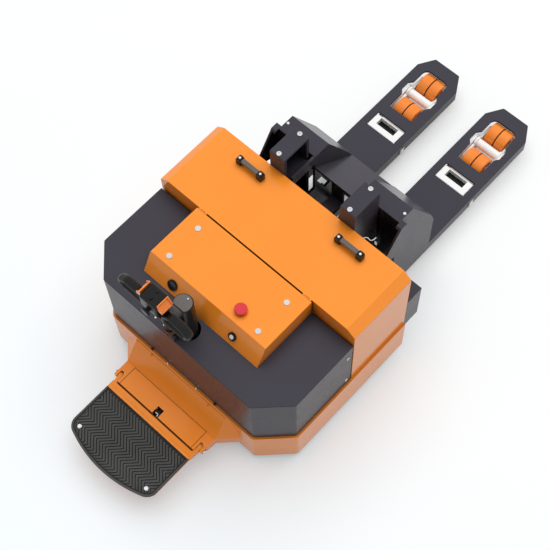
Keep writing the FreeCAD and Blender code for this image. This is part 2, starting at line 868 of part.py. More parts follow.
def make_carriage_frame():
    inner = block_inner + carriage_plate
    outer = block_outer - carriage_plate
    shell = prism_y(block_outline(0), block_inner, block_outer)
    hollow = prism_y(block_outline(carriage_plate), inner, outer)
    tab_half = crank_shaft_radius + 13
    tab = block(crank_x - tab_half, crank_x + tab_half, block_inner, inner,
                crank_z - crank_shaft_radius - 9, crank_z + tab_half)
    tongue = block(upright_x0 + tongue_inset, carriage_x + carriage_plate, block_inner, inner,
                   tongue_low, tongue_high)
    tongue = tongue.cut(block(upright_x0 + tongue_inset + carriage_plate, carriage_x, block_inner - 1,
                              inner + 1, tongue_low + tongue_strip, tongue_high - tongue_strip + 14))
    # A service window in each block's inner wall looks down on the crank's end.
    window = prism_y([(carriage_x + 13, crosshead_top - 10), (carriage_x + 42, crosshead_top - 10),
                      (carriage_x + 84, tongue_low + 3), (carriage_x + 58, tongue_low - 4)],
                     block_inner - 1, inner + 1)
    shoe_x0 = upright_x0 + upright_wall + gap
    shoe_x1 = upright_x1 - upright_wall - gap
    shoe_y1 = upright_outer - upright_wall - gap
    # A wall closes the block towards the battery, beside the upright.
    wall = block(carriage_x, carriage_x + carriage_plate, upright_outer + seam, block_outer,
                 fork_seat, carriage_top)
    shapes = [shell.cut(hollow).cut(window), tab, tongue, wall]
    for z in (tongue_low + 10, tongue_high - 10 - shoe_height):
        shapes.append(block(shoe_x0, shoe_x1, inner, shoe_y1, z, z + shoe_height))
    tip = carriage_x - arm_reach
    arm_outline = [(carriage_x - 14, carriage_top), (carriage_x + 14, carriage_top),
                   (carriage_x + 37, carriage_top - 84), (carriage_x + 22, carriage_top - 204),
                   (tip, carriage_top - 152), (tip, carriage_top - 136)]
    arm = prism_y(arm_outline, block_outer, block_outer + arm_width, [6, 0, 0, 0, 4, 4])
    # Beyond the block the arm is one outer plate with a lip along its top.
    pocket = block(tip - 1, carriage_x, block_outer - 1, block_outer + arm_width - arm_plate,
                   fork_seat, carriage_top - carriage_plate)
    shapes.append(arm.cut(pocket))
    one_side = fused(shapes)
    ramp_far = bend_x + 6
    ramp = prism_y([(carriage_x, ramp_high), (ramp_far, ramp_low), (ramp_far, ramp_low - carriage_plate - 2),
                    (carriage_x, ramp_high - carriage_plate - 2)], -block_inner, block_inner)
    apron = block(ramp_far - carriage_plate, ramp_far, -block_inner, block_inner,
                  ramp_foot, ramp_low - carriage_plate)
    crosshead = block(cylinder_x - ram_radius - 4, carriage_x + carriage_plate,
                      -crosshead_half, crosshead_half, ram_top, crosshead_top)
    hanger = block(carriage_x, carriage_x + carriage_plate, -crosshead_half, crosshead_half,
                   ram_top, ramp_high - carriage_plate)
    frame = fused([one_side, mirrored(one_side), ramp, apron, crosshead, hanger])
    return frame.cut(rod_y(crank_shaft_radius + fit, crank_x, crank_z, -fork_outer, fork_outer))


def make_fork():
    heel_x = carriage_x + fork_heel
    taper_x = tip_x - tip_taper
    half = tip_flat / 2
    plan = [(heel_x, fork_inner), (taper_x, fork_inner), (tip_x, fork_mid - half),
            (tip_x, fork_mid + half), (taper_x, fork_outer), (heel_x, fork_outer)]
    shell = prism_z(plan, fork_bottom, fork_top, [0, 8, 8, 8, 8, 0])
    shell = softened(shell, 3, lambda b: b.ZMin > fork_top - 0.01 and b.XMax > heel_x + 0.01)
    # The carriage stands in a shallow rebate, so the load face starts clear of its nose.
    near = heel_x - 1
    shell = shell.cut(block(near, nose_x + gap, fork_inner - 1, fork_outer + 1, fork_seat, fork_top + 1))
    y0 = fork_inner + fork_wall
    y1 = fork_outer - fork_wall
    half = tip_flat / 2 - fork_wall * 0.6
    inside = [(near, y0), (taper_x - 3, y0), (tip_x - fork_wall, fork_mid - half),
              (tip_x - fork_wall, fork_mid + half), (taper_x - 3, y1), (near, y1)]
    shell = shell.cut(prism_z(inside, fork_bottom - 1, fork_under))
    half = lever_half_width + window_margin
    shell = shell.cut(block(lever_x - lever_back - window_margin, lever_x + lever_front + window_end_margin,
                            fork_mid - half, fork_mid + half, fork_under - 1, fork_top + 1))
    x0 = bogie_x - opening_back
    x1 = bogie_x + opening_front
    slot = prism_z([(x0, fork_mid - opening_half), (x1, fork_mid - opening_half),
                    (x1, fork_mid + opening_half), (x0, fork_mid + opening_half)],
                   fork_under - 1, fork_top + 1, [10, 25, 25, 10])
    shell = shell.cut(slot)
    n0 = bogie_x - notch_length / 2 - 8
    n1 = n0 + notch_length
    half = notch_half
    notch = [(n0 - notch_taper, fork_mid - opening_half + 1), (n0, fork_mid - half), (n1, fork_mid - half),
             (n1 + notch_taper, fork_mid - opening_half + 1), (n1 + notch_taper, fork_mid + opening_half - 1),
             (n1, fork_mid + half), (n0, fork_mid + half), (n0 - notch_taper, fork_mid + opening_half - 1)]
    shell = shell.cut(prism_z(notch, fork_under - 1, fork_top + 1))
    bay = crank_shaft_radius + 25
    shell = shell.cut(block(crank_x - bay, crank_x + bay + 6, fork_inner - 1, block_outer - carriage_plate,
                            fork_under, fork_top + 1))
    ski = prism_y([(taper_x, fork_bottom - 1), (tip_x + 1, fork_bottom - 1),
                   (tip_x + 1, fork_bottom + tip_rise), (taper_x, fork_bottom)],
                  fork_inner - 1, fork_outer + 1)
    shell = shell.cut(ski)
    shell = shell.cut(rod_y(lever_pin_radius + fit, lever_x, lever_z, fork_inner - 1, fork_outer + 1))
    access = prism_y([(lever_x - 6, push_z - 14), (lever_x + 6, push_z - 14), (lever_x + 12, push_z + 6),
                      (lever_x, push_z + 6)], fork_inner - 1, fork_inner + fork_wall + 1, 3)
    return shell.cut(access)


def make_lever_pin():
    shaft = rod_y(lever_pin_radius, lever_x, lever_z, fork_inner - 1.5, fork_outer + 1.5)
    heads = []
    for y in (fork_inner - 4, fork_outer + gap):
        heads.append(rod_y(lever_pin_radius + 4, lever_x, lever_z, y, y + 3.5))
    return fused([shaft] + heads)


def make_swing_lever():
    half = lever_half_width
    ring_top = fork_top - lever_recess
    back = lever_x - lever_back
    ring = block(back, lever_x + lever_front, fork_mid - half, fork_mid + half, lever_z - 14, ring_top)
    ring = softened(ring, 3, lambda b: b.ZMin > ring_top - 0.01)
    arm_inner = half - lever_arm_thickness
    hole = block(lever_x + pin_radius, lever_x + lever_front - 5, fork_mid - half + 25, fork_mid + half - 25,
                 lever_z - 15, ring_top + 1)
    slot_half = push_rod_width / 2 + 1.5
    slot = block(back - 1, lever_x + pin_radius + 1, fork_mid - slot_half, fork_mid + slot_half,
                 lever_z + pin_radius, push_z + push_eye_radius + push_slot - 0.8)
    pin_half = slot_half + 8
    shapes = [ring.cut(hole).cut(slot),
              rod_y(push_pin_radius, lever_x, push_z, fork_mid - pin_half, fork_mid + pin_half)]
    root_z = lever_z + 8
    for y0 in (fork_mid - half, fork_mid + arm_inner):
        shapes.append(link_y(lever_x + lever_front - 16, root_z, lever_arm_height / 2,
                             bogie_x, bogie_z, lever_eye_radius, y0, y0 + lever_arm_thickness))
    lever = fused(shapes)
    lever = lever.cut(rod_y(lever_pin_radius + fit, lever_x, lever_z, fork_inner, fork_outer))
    return lever.cut(rod_y(pin_radius + fit, bogie_x, bogie_z, fork_inner, fork_outer))


def make_push_rod():
    half = push_rod_width / 2
    bar = block(crank_x, lever_x, fork_mid - half, fork_mid + half, push_z - push_rod_height / 2,
                push_z + push_rod_height / 2)
    shapes = [bar]
    slots = []
    reach = push_pin_radius + push_play
    for x in (crank_x, lever_x):
        shapes.append(rod_y(push_eye_radius, x, push_z, fork_mid - half, fork_mid + half))
        for z in (push_z - push_slot, push_z + push_slot):
            slots.append(rod_y(reach, x, z, fork_mid - half - 1, fork_mid + half + 1))
        slots.append(block(x - reach, x + reach, fork_mid - half - 1, fork_mid + half + 1,
                           push_z - push_slot, push_z + push_slot))
    rod_shape = fused(shapes)
    for slot in slots:
        rod_shape = rod_shape.cut(slot)
    return rod_shape


def make_crank_shaft():
    cheek_inner = push_rod_width / 2 + 1
    cheek_outer = cheek_inner + 6
    shapes = [rod_y(crank_shaft_radius, crank_x, crank_z, -fork_mid - cheek_outer, fork_mid + cheek_outer)]
    for side in (-1, 1):
        middle = side * fork_mid
        for y0 in (middle - cheek_outer, middle + cheek_inner):
            shapes.append(link_y(crank_x, crank_z, crank_shaft_radius + 4,
                                 crank_x, push_z, push_pin_radius + 4, y0, y0 + 6))
        shapes.append(rod_y(push_pin_radius, crank_x, push_z, middle - cheek_outer, middle + cheek_outer))
    arm = link_y(crank_x, crank_z, crank_shaft_radius + 8, anchor_x, crank_z, crank_arm_height / 2,
                 crank_arm_y, crank_arm_y + crank_arm_width)
    pin = rod_y(crank_pin_radius, anchor_x, crank_z, crank_arm_y, block_inner + carriage_plate - 3)
    return fused(shapes + pair(arm) + pair(pin))


# Load rollers

def make_bogie():
    shapes = []
    left_x = bogie_x - roller_spacing / 2
    right_x = bogie_x + roller_spacing / 2
    inner = bogie_plate_inner
    outer = bogie_plate_inner + bogie_plate_thickness
    for y0 in (fork_mid - outer, fork_mid + inner):
        y1 = y0 + bogie_plate_thickness
        shapes.append(link_y(left_x, roller_radius, bogie_plate_radius,
                             right_x, roller_radius, bogie_plate_radius, y0, y1))
        shapes.append(rod_y(bogie_plate_radius, bogie_x, bogie_z, y0, y1))
    shapes.append(rod_y(sleeve_radius, bogie_x, bogie_z, fork_mid - inner, fork_mid + inner))
    bogie = fused(shapes)
    for x in (left_x, right_x):
        bogie = bogie.cut(rod_y(axle_radius + fit, x, roller_radius, fork_inner, fork_outer))
    return bogie.cut(rod_y(pin_radius + fit, bogie_x, bogie_z, fork_inner, fork_outer))


def make_bogie_axles():
    axles = []
    half_axle = bogie_plate_inner + bogie_plate_thickness
    half_pin = lever_half_width + 3
    for side in (-1, 1):
        middle = side * fork_mid
        for x in (bogie_x - roller_spacing / 2, bogie_x + roller_spacing / 2):
            axles.append(rod_y(axle_radius, x, roller_radius, middle - half_axle, middle + half_axle))
        axles.append(rod_y(pin_radius, bogie_x, bogie_z, middle - half_pin, middle + half_pin))
    return axles


def make_roller(side, end):
    # Two tread halves side by side on one axle, each with a recessed hub face.
    x = bogie_x + end * roller_spacing / 2
    halves = []
    for part_side in (-1, 1):
        near = side * fork_mid + part_side * roller_groove / 2
        far = near + part_side * roller_length
        tread = rod_y(roller_radius, x, roller_radius, near, far)
        tread = softened(tread, 3, lambda b: b.YMax - b.YMin < 0.01)
        dish = rod_y(roller_core_radius, x, roller_radius, far - part_side * 4, far + part_side)
        boss = rod_y(axle_radius + 7, x, roller_radius, near, far)
        bore = rod_y(axle_radius + fit, x, roller_radius, near - part_side, far + part_side)
        halves.append(fused([tread.cut(dish), boss]).cut(bore))
    return halves


# Drive unit

def make_drive_yoke():
    table_low = deck_bottom - 7 - turntable_thickness
    shapes = [rod_z(turntable_radius, drive_x, 0, table_low, table_low + turntable_thickness),
              rod_z(neck_radius, drive_x, 0, table_low, deck_top + ring_height + gap),
              rod_z(neck_radius + 15, drive_x, 0, deck_top + ring_height + gap, deck_top + ring_height + 10)]
    y0 = wheel_width / 2 + 7
    y1 = y0 + gearbox_width
    casing = link_y(drive_x, table_low - 30, gearbox_half, drive_x, wheel_radius, gearbox_half - 4, y0, y1)
    neck_block = block(drive_x - gearbox_half, drive_x + gearbox_half, y0, y1 - 15, table_low - 40, table_low)
    shapes += [casing.common(block(drive_x - 200, drive_x + 200, y0, y1, 0, table_low + 5)), neck_block]
    shapes.append(rod_y(drive_axle_radius, drive_x, wheel_radius, -wheel_width / 2 + 8, y0))
    return fused(shapes)


def make_steer_ring():
    ring = rod_z(ring_radius, drive_x, 0, deck_top, deck_top + ring_height)
    return ring.cut(rod_z(neck_radius + fit, drive_x, 0, deck_top - 1, deck_top + ring_height + 1))


def make_traction_motor():
    low = deck_top + ring_height + 10
    top = low + motor_height
    shapes = [rod_z(neck_radius, drive_x, 0, low, top),
              rod_z(neck_radius - 12, drive_x, 0, top, top + motor_cap_height)]
    ribs = 8
    for i in range(ribs):
        turn = 360.0 * i / ribs
        rib = block(drive_x + neck_radius - 4, drive_x + neck_radius + 6, -5, 5, low + 15, top - 15)
        rib.rotate(V(drive_x, 0, 0), V(0, 0, 1), turn)
        shapes.append(rib)
    shapes.append(block(drive_x + neck_radius - 10, drive_x + neck_radius + 24, -30, 30, low + 60, low + 130))
    return fused(shapes)


def make_drive_hub():
    half = wheel_width / 2
    hub = rod_y(hub_radius, drive_x, wheel_radius, -half, half)
    dish = rod_y(hub_radius - 14, drive_x, wheel_radius, -half - 1, -half + 18)
    boss = rod_y(drive_axle_radius + 16, drive_x, wheel_radius, -half, half)
    hub = fused([hub.cut(dish), boss])
    return hub.cut(rod_y(drive_axle_radius + fit, drive_x, wheel_radius, -half - 1, half + 1))


def make_drive_tyre():
    half = wheel_width / 2
    tyre = rod_y(wheel_radius, drive_x, wheel_radius, -half, half)
    tyre = softened(tyre, 6, lambda b: b.YMax - b.YMin < 0.01)
    return tyre.cut(rod_y(hub_radius + fit, drive_x, wheel_radius, -half - 1, half + 1))


# Stabiliser castors

def make_caster_fork():
    x1 = caster_x + caster_trail
    top = caster_crown_z + caster_crown_height
    inner = caster_width / 2 + 3
    outer = inner + caster_leg
    shapes = [rod_z(outer + 8, caster_x, caster_y, caster_crown_z, top)]
    for y0 in (caster_y - outer, caster_y + inner):
        y1 = y0 + caster_leg
        leg = prism_y([(caster_x - 24, caster_crown_z), (caster_x + 36, caster_crown_z),
                       (x1 + 16, caster_radius), (x1, caster_radius - 16), (x1 - 16, caster_radius)],
                      y0, y1, [0, 0, 4, 8, 4])
        shapes.append(leg)
        shapes.append(block(caster_x - 24, caster_x + 36, y0, y1, caster_crown_z - 1, top))
    shapes.append(rod_y(caster_axle_radius, x1, caster_radius, caster_y - outer, caster_y + outer))
    fork = fused(shapes)
    return fork.cut(rod_z(caster_pin_radius + fit, caster_x, caster_y, caster_crown_z - 1, top + 1))


def make_caster_wheel():
    x1 = caster_x + caster_trail
    half = caster_width / 2
    wheel = rod_y(caster_radius, x1, caster_radius, caster_y - half, caster_y + half)
    wheel = softened(wheel, 8, lambda b: b.YMax - b.YMin < 0.01)
    for side in (-1, 1):
        face = caster_y + side * half
        wheel = wheel.cut(rod_y(caster_radius - 20, x1, caster_radius, face - side * 8, face + side))
    boss = rod_y(caster_axle_radius + 12, x1, caster_radius, caster_y - half, caster_y + half)
    bore = rod_y(caster_axle_radius + fit, x1, caster_radius, caster_y - half - 1, caster_y + half + 1)
    return fused([wheel, boss]).cut(bore)


# Tiller

def make_tiller_column():
    post = rod_z(column_radius, column_x, 0, column_bottom, column_top)
    flat_x = column_x - column_flat
    post = post.cut(block(column_x - 2 * column_radius, flat_x, -column_radius, column_radius,
                          column_bottom - 1, column_top + 1))
    post = softened(post, 2, lambda b: b.ZMin > column_top - 0.01)
    shapes = [post, rod_z(column_spigot_radius, column_x, 0, column_bottom - column_spigot, column_bottom)]
    lug_outer = lug_inner + lug_thickness
    lug = link_y(flat_x + 4, tilt_z, lug_radius + 14, tilt_x, tilt_z, lug_radius, lug_inner, lug_outer)
    lug = lug.cut(block(column_x, column_x + column_radius, lug_inner - 1, lug_outer + 1,
                        column_bottom, column_top))
    shapes += pair(lug)
    shapes.append(rod_y(tilt_pin_radius, tilt_x, tilt_z, -lug_outer - 3, lug_outer + 3))
    return fused(shapes)


def along_arm(distance):
    return V(tilt_x - distance * math.sin(arm_lean), 0, tilt_z + distance * math.cos(arm_lean))


arm_length = (head_low + socket_depth - tilt_z) / math.cos(arm_lean)


def make_tiller_arm():
    half = lug_inner - 0.3
    eye = rod_y(lug_radius - 2, tilt_x, tilt_z, -half, half)
    tube = rod(arm_radius, along_arm(0), along_arm(arm_length))
    collar = rod(arm_radius + 4, along_arm(lug_radius + 22), along_arm(lug_radius + 50))
    trimmed = tube.cut(block(tilt_x - 60, tilt_x + 60, half, 60, tilt_z - 60, tilt_z + lug_radius + 12))
    trimmed = trimmed.cut(block(tilt_x - 60, tilt_x + 60, -60, -half, tilt_z - 60, tilt_z + lug_radius + 12))
    arm = fused([eye, trimmed, collar])
    return arm.cut(rod_y(tilt_pin_radius + fit, tilt_x, tilt_z, -50, 50))


paddle_z = head_high - paddle_axis_drop
belly_z = head_low + 0.5 * (head_high - head_low)


def make_tiller_head():
    x0 = head_x - head_half_depth
    x1 = head_x + head_half_depth
    outline = [(x0 + 12, head_low), (x1 - 8, head_low), (x1, head_high), (x0, head_high - 4),
               (x0, belly_z - 10)]
    head = prism_y(outline, -head_half_width, head_half_width, [8, 8, head_corner, head_corner, 20])
    head = softened(head, 5, lambda b: b.YMax - b.YMin < 0.01)
    socket_start = along_arm(arm_length - socket_depth - 30)
    head = head.cut(rod(arm_radius + fit, socket_start, along_arm(arm_length + gap)))
    head = head.cut(rod_y(paddle_shaft_radius + fit, head_x, paddle_z, -60, 60))
    head = head.cut(rod(belly_stem_radius + fit, V(x0 - 5, 0, belly_z), V(x0 + 22, 0, belly_z)))
    for x in (head_x - 14, head_x + 14):
        head = head.cut(rod_z(button_radius + fit, x, 0, head_high - 9, head_high + 5))
    return head


def make_grip():
    # One closed hand loop beside the head: an oval bar swept round a path that falls away outwards.
    low = head_low - grip_drop
    inset = grip_bar / 2
    inner = head_half_width + inset
    outer = grip_out - inset
    x = head_x - 5
    path = [(inner, low + inset), (inner, low + 40), (inner + 26, low + grip_rise - inset),
            (outer - 27, low + grip_rise - inset - 4), (outer, low + 41), (outer, low + 25),
            (outer - 15, low + inset)]
    wire = rounded_wire([V(x, y, z) for y, z in path], [12, 16, 20, 24, 14, 14, 16])
    start = wire.Edges[0]
    middle = start.valueAt(start.FirstParameter)
    along = start.tangentAt(start.FirstParameter)
    oval = Part.Ellipse(V(0, 0, 0), grip_half, inset)
    oval_wire = Part.Wire([oval.toShape()])
    turn = FreeCAD.Rotation(V(1, 0, 0), along.cross(V(1, 0, 0)) * -1, along, "ZXY")
    oval_wire.Placement = FreeCAD.Placement(middle, turn)
    loop = wire.makePipeShell([oval_wire], True, False)
    foot = block(x - 10, x + 10, head_half_width, inner, low + 14, low + 38)
    return fused([loop, foot])


def make_thumb_paddles():
    # Each paddle is a tilted tray: a web beside the head, two end walls and a floor that falls outwards.
    near = head_half_width + paddle_gap
    far = near + paddle_width
    web = near + paddle_web
    top = paddle_z + paddle_rise
    low = paddle_z - paddle_fall
    x0 = head_x - paddle_half
    x1 = head_x + paddle_half
    end_wall = [(near, low), (near, top), (web, top), (far, top - paddle_slope), (far, low)]
    floor_top = top - paddle_pocket
    floor_end = max(floor_top - paddle_slope, low + 1)
    floor = [(near, low), (near, floor_top), (web, floor_top), (far, floor_end), (far, low)]
    wing = fused([prism_x(floor, x0, x1), block(x0, x1, near, web, low, top),
                  prism_x(end_wall, x0, x0 + paddle_end), prism_x(end_wall, x1 - paddle_end, x1)])
    shaft = rod_y(paddle_shaft_radius, head_x, paddle_z, -near - 2, near + 2)
    return fused([wing, mirrored(wing), shaft])


def make_belly_button():
    x0 = head_x - head_half_depth
    stem = rod(belly_stem_radius, V(x0 - belly_travel - 2, 0, belly_z), V(x0 + 12, 0, belly_z))
    disc = rod(belly_radius, V(x0 - belly_travel - 10, 0, belly_z), V(x0 - belly_travel - 2, 0, belly_z))
    disc = softened(disc, 2.5, lambda b: b.XMax - b.XMin < 0.01)
    return fused([disc, stem])


def make_head_button(offset):
    button = rod_z(button_radius, head_x + offset, 0, head_high - 6, head_high + 1.5)
    return softened(button, 1, lambda b: b.ZMin > head_high)


# Folding step

def hip_roof(front, back, half, low, top):
    # A slope that falls forwards, closed at both ends by a three-cornered hip at 45 degrees in plan.
    flare = back - front
    ridge = V(back, half, top)
    corner = V(front, half, low)
    wing = V(back, half + flare, low)
    return faceted([[ridge, corner, across(corner), across(ridge)], [ridge, wing, corner],
                    [across(ridge), across(corner), across(wing)], [ridge, across(ridge), across(wing), wing],
                    [corner, wing, across(wing), across(corner)]])


def flared_plan(inset, back):
    # The apron's plan below the hips, drawn in by a wall thickness.
    front = carrier_x + inset
    near = carrier_half - inset * (math.sqrt(2) - 1)
    far = near + back - front
    return [(back, -far), (front, -near), (front, near), (back, far)]


def make_hipped_apron(apron_top):
    rise = (apron_top - step_top) / carrier_run
    back = skirt_front + 1
    low = step_top - carrier_skirt
    roof = hip_roof(carrier_x, skirt_front, carrier_half, step_top, apron_top)
    walls = prism_z(flared_plan(0, skirt_front), low, step_top)
    shift = carrier_wall - 0.8
    inner_front = carrier_x + shift
    inner_half = carrier_half - shift * (math.sqrt(2) - 1)
    foot = step_top - 0.4
    cavity = hip_roof(inner_front, back, inner_half, foot, foot + rise * (back - inner_front))
    hollow = prism_z(flared_plan(carrier_wall, back), low - 1, step_top)
    return fused([roof, walls]).cut(cavity).cut(hollow)


def make_platform_carrier():
    inner_half = carrier_half - cheek - ear_slot
    ear_x = step_hinge_x + ear_radius + ear_play
    under = step_top - carrier_plate
    shapes = [block(carrier_end, carrier_x, -inner_half, inner_half, under, step_top),
              block(ear_x, carrier_x, -carrier_half, carrier_half, under, step_top)]
    apron_top = skirt_top - 2
    shapes.append(make_hipped_apron(apron_top))
    shapes.append(block(skirt_front - carrier_plate, skirt_front, -carrier_half, carrier_half,
                        carrier_low, apron_top - 5))
    cheek_end = step_hinge_x - ear_radius
    cheek_outline = [(skirt_front, apron_top), (carrier_x, step_top), (cheek_end, step_top),
                     (cheek_end, step_hinge_z - ear_radius), (carrier_x, carrier_low + 15),
                     (skirt_front, carrier_low)]
    radii = [0, 0, 0, 10, 0, 0]
    outer_cheek = prism_y(cheek_outline, carrier_half - cheek, carrier_half, radii)
    inner_cheek = prism_y(cheek_outline, inner_half - cheek, inner_half, radii)
    shapes += pair(outer_cheek) + pair(inner_cheek)
    housing_x = carrier_end + 2 * latch_half + latch_travel + 14
    shapes.append(block(housing_x, housing_x + 26, -latch_bay, latch_bay, under - 26, under))
    # A bent lip closes the hinge slot from below, and a tray closes the latch's bay.
    tray_low = under - carrier_tray
    tray_top = tray_low + carrier_lip
    notch_end = carrier_end + 2 * latch_half + latch_travel + 6
    tray_half = latch_bay + carrier_lip
    bent_x = carrier_end + carrier_lip
    shapes += [block(carrier_end - slot_lip, bent_x, -inner_half, inner_half, tray_low, tray_top),
               block(carrier_end, bent_x, -inner_half, inner_half, tray_low, under),
               block(carrier_end, notch_end + carrier_lip, -tray_half, tray_half, tray_low, under)]
    carrier = fused(shapes)
    notch = block(carrier_end - 1, notch_end, -latch_bay, latch_bay, tray_top, step_top + 1)
    carrier = carrier.cut(notch)
    # Seams run along both inner cheeks and where the tread plate meets the apron.
    seam_y = inner_half - cheek
    seam_low = step_top - carrier_seam
    line = block(carrier_end - 1, carrier_x, seam_y - carrier_seam, seam_y, seam_low, step_top + 1)
    carrier = carrier.cut(line).cut(mirrored(line))
    carrier = carrier.cut(block(carrier_x - carrier_seam, carrier_x, -seam_y, seam_y, seam_low, step_top + 1))
    latch_z = under - 9
    carrier = carrier.cut(rod(5 + fit, V(notch_end - 1, 0, latch_z), V(housing_x + 27, 0, latch_z)))
    return carrier.cut(rod_y(step_pin_radius + fit, step_hinge_x, step_hinge_z, -300, 300))


def make_platform_pins():
    inner_half = carrier_half - cheek - ear_slot
    shaft = rod_y(step_pin_radius, step_hinge_x, step_hinge_z, inner_half - cheek - 4, carrier_half + 2)
    head = rod_y(step_pin_radius + 3, step_hinge_x, step_hinge_z, carrier_half + gap, carrier_half + 5)
    return pair(fused([shaft, head]))


def step_prism(inset, near, z0, z1):
    # Plan of the step: straight sides, rounded corners and a shallow bowed front edge.
    half = step_half - inset
    edge = step_edge + step_bow + inset
    bow = step_bow * (half / step_half) ** 2
    corner = max(step_corner - inset, 1)
    lean = math.atan2(2 * bow, half)
    run = corner * math.tan((math.pi / 2 - lean) / 2)
    a = V(edge + run, half, z0)
    b = V(edge - run * math.sin(lean), half - run * math.cos(lean), z0)
    to_corner = V(edge, half, z0)
    centre = V(edge + run, half - corner, z0)
    middle = centre + (to_corner - centre).normalize() * corner
    front = V(edge - bow, 0, z0)
    hinge_end = V(near, half, z0)
    edges = [Part.LineSegment(across(hinge_end), hinge_end).toShape(),
             Part.LineSegment(hinge_end, a).toShape(),
             Part.Arc(a, middle, b).toShape(),
             Part.Arc(b, front, across(b)).toShape(),
             Part.Arc(across(b), across(middle), across(a)).toShape(),
             Part.LineSegment(across(a), across(hinge_end)).toShape()]
    return Part.Face(Part.Wire(edges)).extrude(V(0, 0, z1 - z0))


mat_near = step_near - step_strip
pan_floor = step_top - mat_thickness


def make_platform_pan():
    low = step_top - step_depth
    plate_low = step_top - step_edge_height
    pan = step_prism(0, step_near, plate_low, step_top - 2)
    frame_near = step_near - step_frame_inset
    frame = step_prism(step_frame_inset, frame_near, low, plate_low)
    inset = step_frame_inset + step_frame_wall
    frame = frame.cut(step_prism(inset, frame_near - step_frame_wall, low - 1, plate_low + 1))
    seat = step_prism(step_rim, mat_near, pan_floor, step_top + 1)
    strip = block(mat_near, step_near, -step_half, step_half, step_top - 3, step_top)
    shapes = [fused([pan, strip, frame]).cut(seat)]
    ear_y0 = carrier_half - cheek - ear_slot + ear_play
    ear_y1 = carrier_half - cheek - ear_play
    neck = block(mat_near + 2, step_hinge_x, ear_y0, ear_y1, step_hinge_z - 10, step_hinge_z + 10)
    shapes += pair(fused([rod_y(ear_radius, step_hinge_x, step_hinge_z, ear_y0, ear_y1), neck]))
    pan = fused(shapes)
    return pan.cut(rod_y(step_pin_radius + fit, step_hinge_x, step_hinge_z, -300, 300))


def make_platform_mat():
    return step_prism(step_rim + fit, mat_near - fit, pan_floor, step_top)


def make_platform_latch():
    under = step_top - carrier_plate
    latch_z = under - 9
    x0 = carrier_end + 4
    x1 = x0 + 2 * latch_half
    housing_x = carrier_end + 2 * latch_half + latch_travel + 14
    head = prism_y([(x0, latch_z - 7), (x1, latch_z - 7), (x1, latch_z + 12), (x0 + 8, latch_z + 12)],
                   -latch_half, latch_half, 2)
    shank = rod(5, V(x1 - 2, 0, latch_z), V(housing_x + 22, 0, latch_z))
    return fused([head, shank])


# Every node of the truck, each written as its own file

def save(node, shape):
    if isinstance(shape, list):
        shape = Part.makeCompound(shape)
    shape = shape.copy()
    shape.translate(V(-origin_x, 0, 0))
    shape.exportStep("parts/" + node + ".step")


save("deck", make_deck())
save("chassis_rails", make_chassis_rails())
save("chassis_beams", make_chassis_beams())
save("rear_boxes", make_rear_boxes())
save("steer_pedestal", make_steer_pedestal())
save("skirt", make_skirt())
save("drive_cover", make_drive_cover())
save("console", make_console())
save("battery_box", make_battery_box())
save("battery_pack", make_battery_pack())
save("battery_lid", make_battery_lid())
save("lid_hinge_pins", make_lid_hinge_pins())
save("lid_handle_feet", make_handle_feet())
save("lid_handle_bars", make_handle_bars())
save("stop_button", make_stop_button())
save("charge_gauge", make_charge_gauge())
save("key_switch", make_dial(-1, key_ring_radius, key_radius + fit))
save("key_barrel", make_key_barrel())
save("body_screws", make_body_screws())
left_upright = make_upright()
save("upright_left", left_upright)
save("upright_right", [mirrored(s) for s in left_upright])
save("lift_cylinder", make_lift_cylinder())
save("lift_ram", make_lift_ram())
save("pump_unit", make_pump_unit())
save("motor_controller", make_motor_controller())
save("carriage_frame", make_carriage_frame())
left_fork = make_fork()
save("fork_left", left_fork)
save("fork_right", mirrored(left_fork))
save("lever_pins", pair(make_lever_pin()))
save("swing_levers", pair(make_swing_lever()))
save("push_rods", pair(make_push_rod()))
save("bogie_frames", pair(make_bogie()))
save("crank_shaft", make_crank_shaft())
save("bogie_axles", make_bogie_axles())
for side_name, side in (("left", 1), ("right", -1)):
    for end_name, end in (("front", 1), ("rear", -1)):
        save("roller_" + side_name + "_" + end_name, make_roller(side, end))
save("drive_yoke", make_drive_yoke())
save("steer_ring", make_steer_ring())
save("traction_motor", make_traction_motor())
save("drive_hub", make_drive_hub())
save("drive_tyre", make_drive_tyre())
for name, maker in (("caster_fork", make_caster_fork), ("caster_wheel", make_caster_wheel)):
    left = maker()
    save(name + "_left", left)
    save(name + "_right", mirrored(left))
save("tiller_column", make_tiller_column())
save("tiller_arm", make_tiller_arm())
save("tiller_head", make_tiller_head())
left_grip = make_grip()
save("tiller_grips", pair(left_grip))
save("thumb_paddles", make_thumb_paddles())
save("belly_button", make_belly_button())
save("horn_button", make_head_button(-14))
save("lift_button", make_head_button(14))
save("platform_carrier", make_platform_carrier())
save("platform_pins", make_platform_pins())
save("platform_pan", make_platform_pan())
save("platform_mat", make_platform_mat())
save("platform_latch", make_platform_latch())

print("origin at X %.3f from the seam" % origin_x)
print("lift turns the levers by %.4f degrees" % math.degrees(lift_turn))
print("push rods travel %.4f" % push_travel)
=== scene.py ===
# %% [markdown]
# # Dressing an electric pallet jack
# The truck arrives as solids that already stand in the right place and move on their joints.
# This lesson gives each solid a finish and adds the small things that a solid model leaves out:
# screws, rivets, the ribs on the rubber mat, a few thin plates and the wire hook behind the battery.
# Everything is in metres: +X runs to the fork tips, +Y to the truck's left, +Z is up.

# %% Load the truck
import json
import math

import bmesh
import bpy
from mathutils import Matrix, Vector


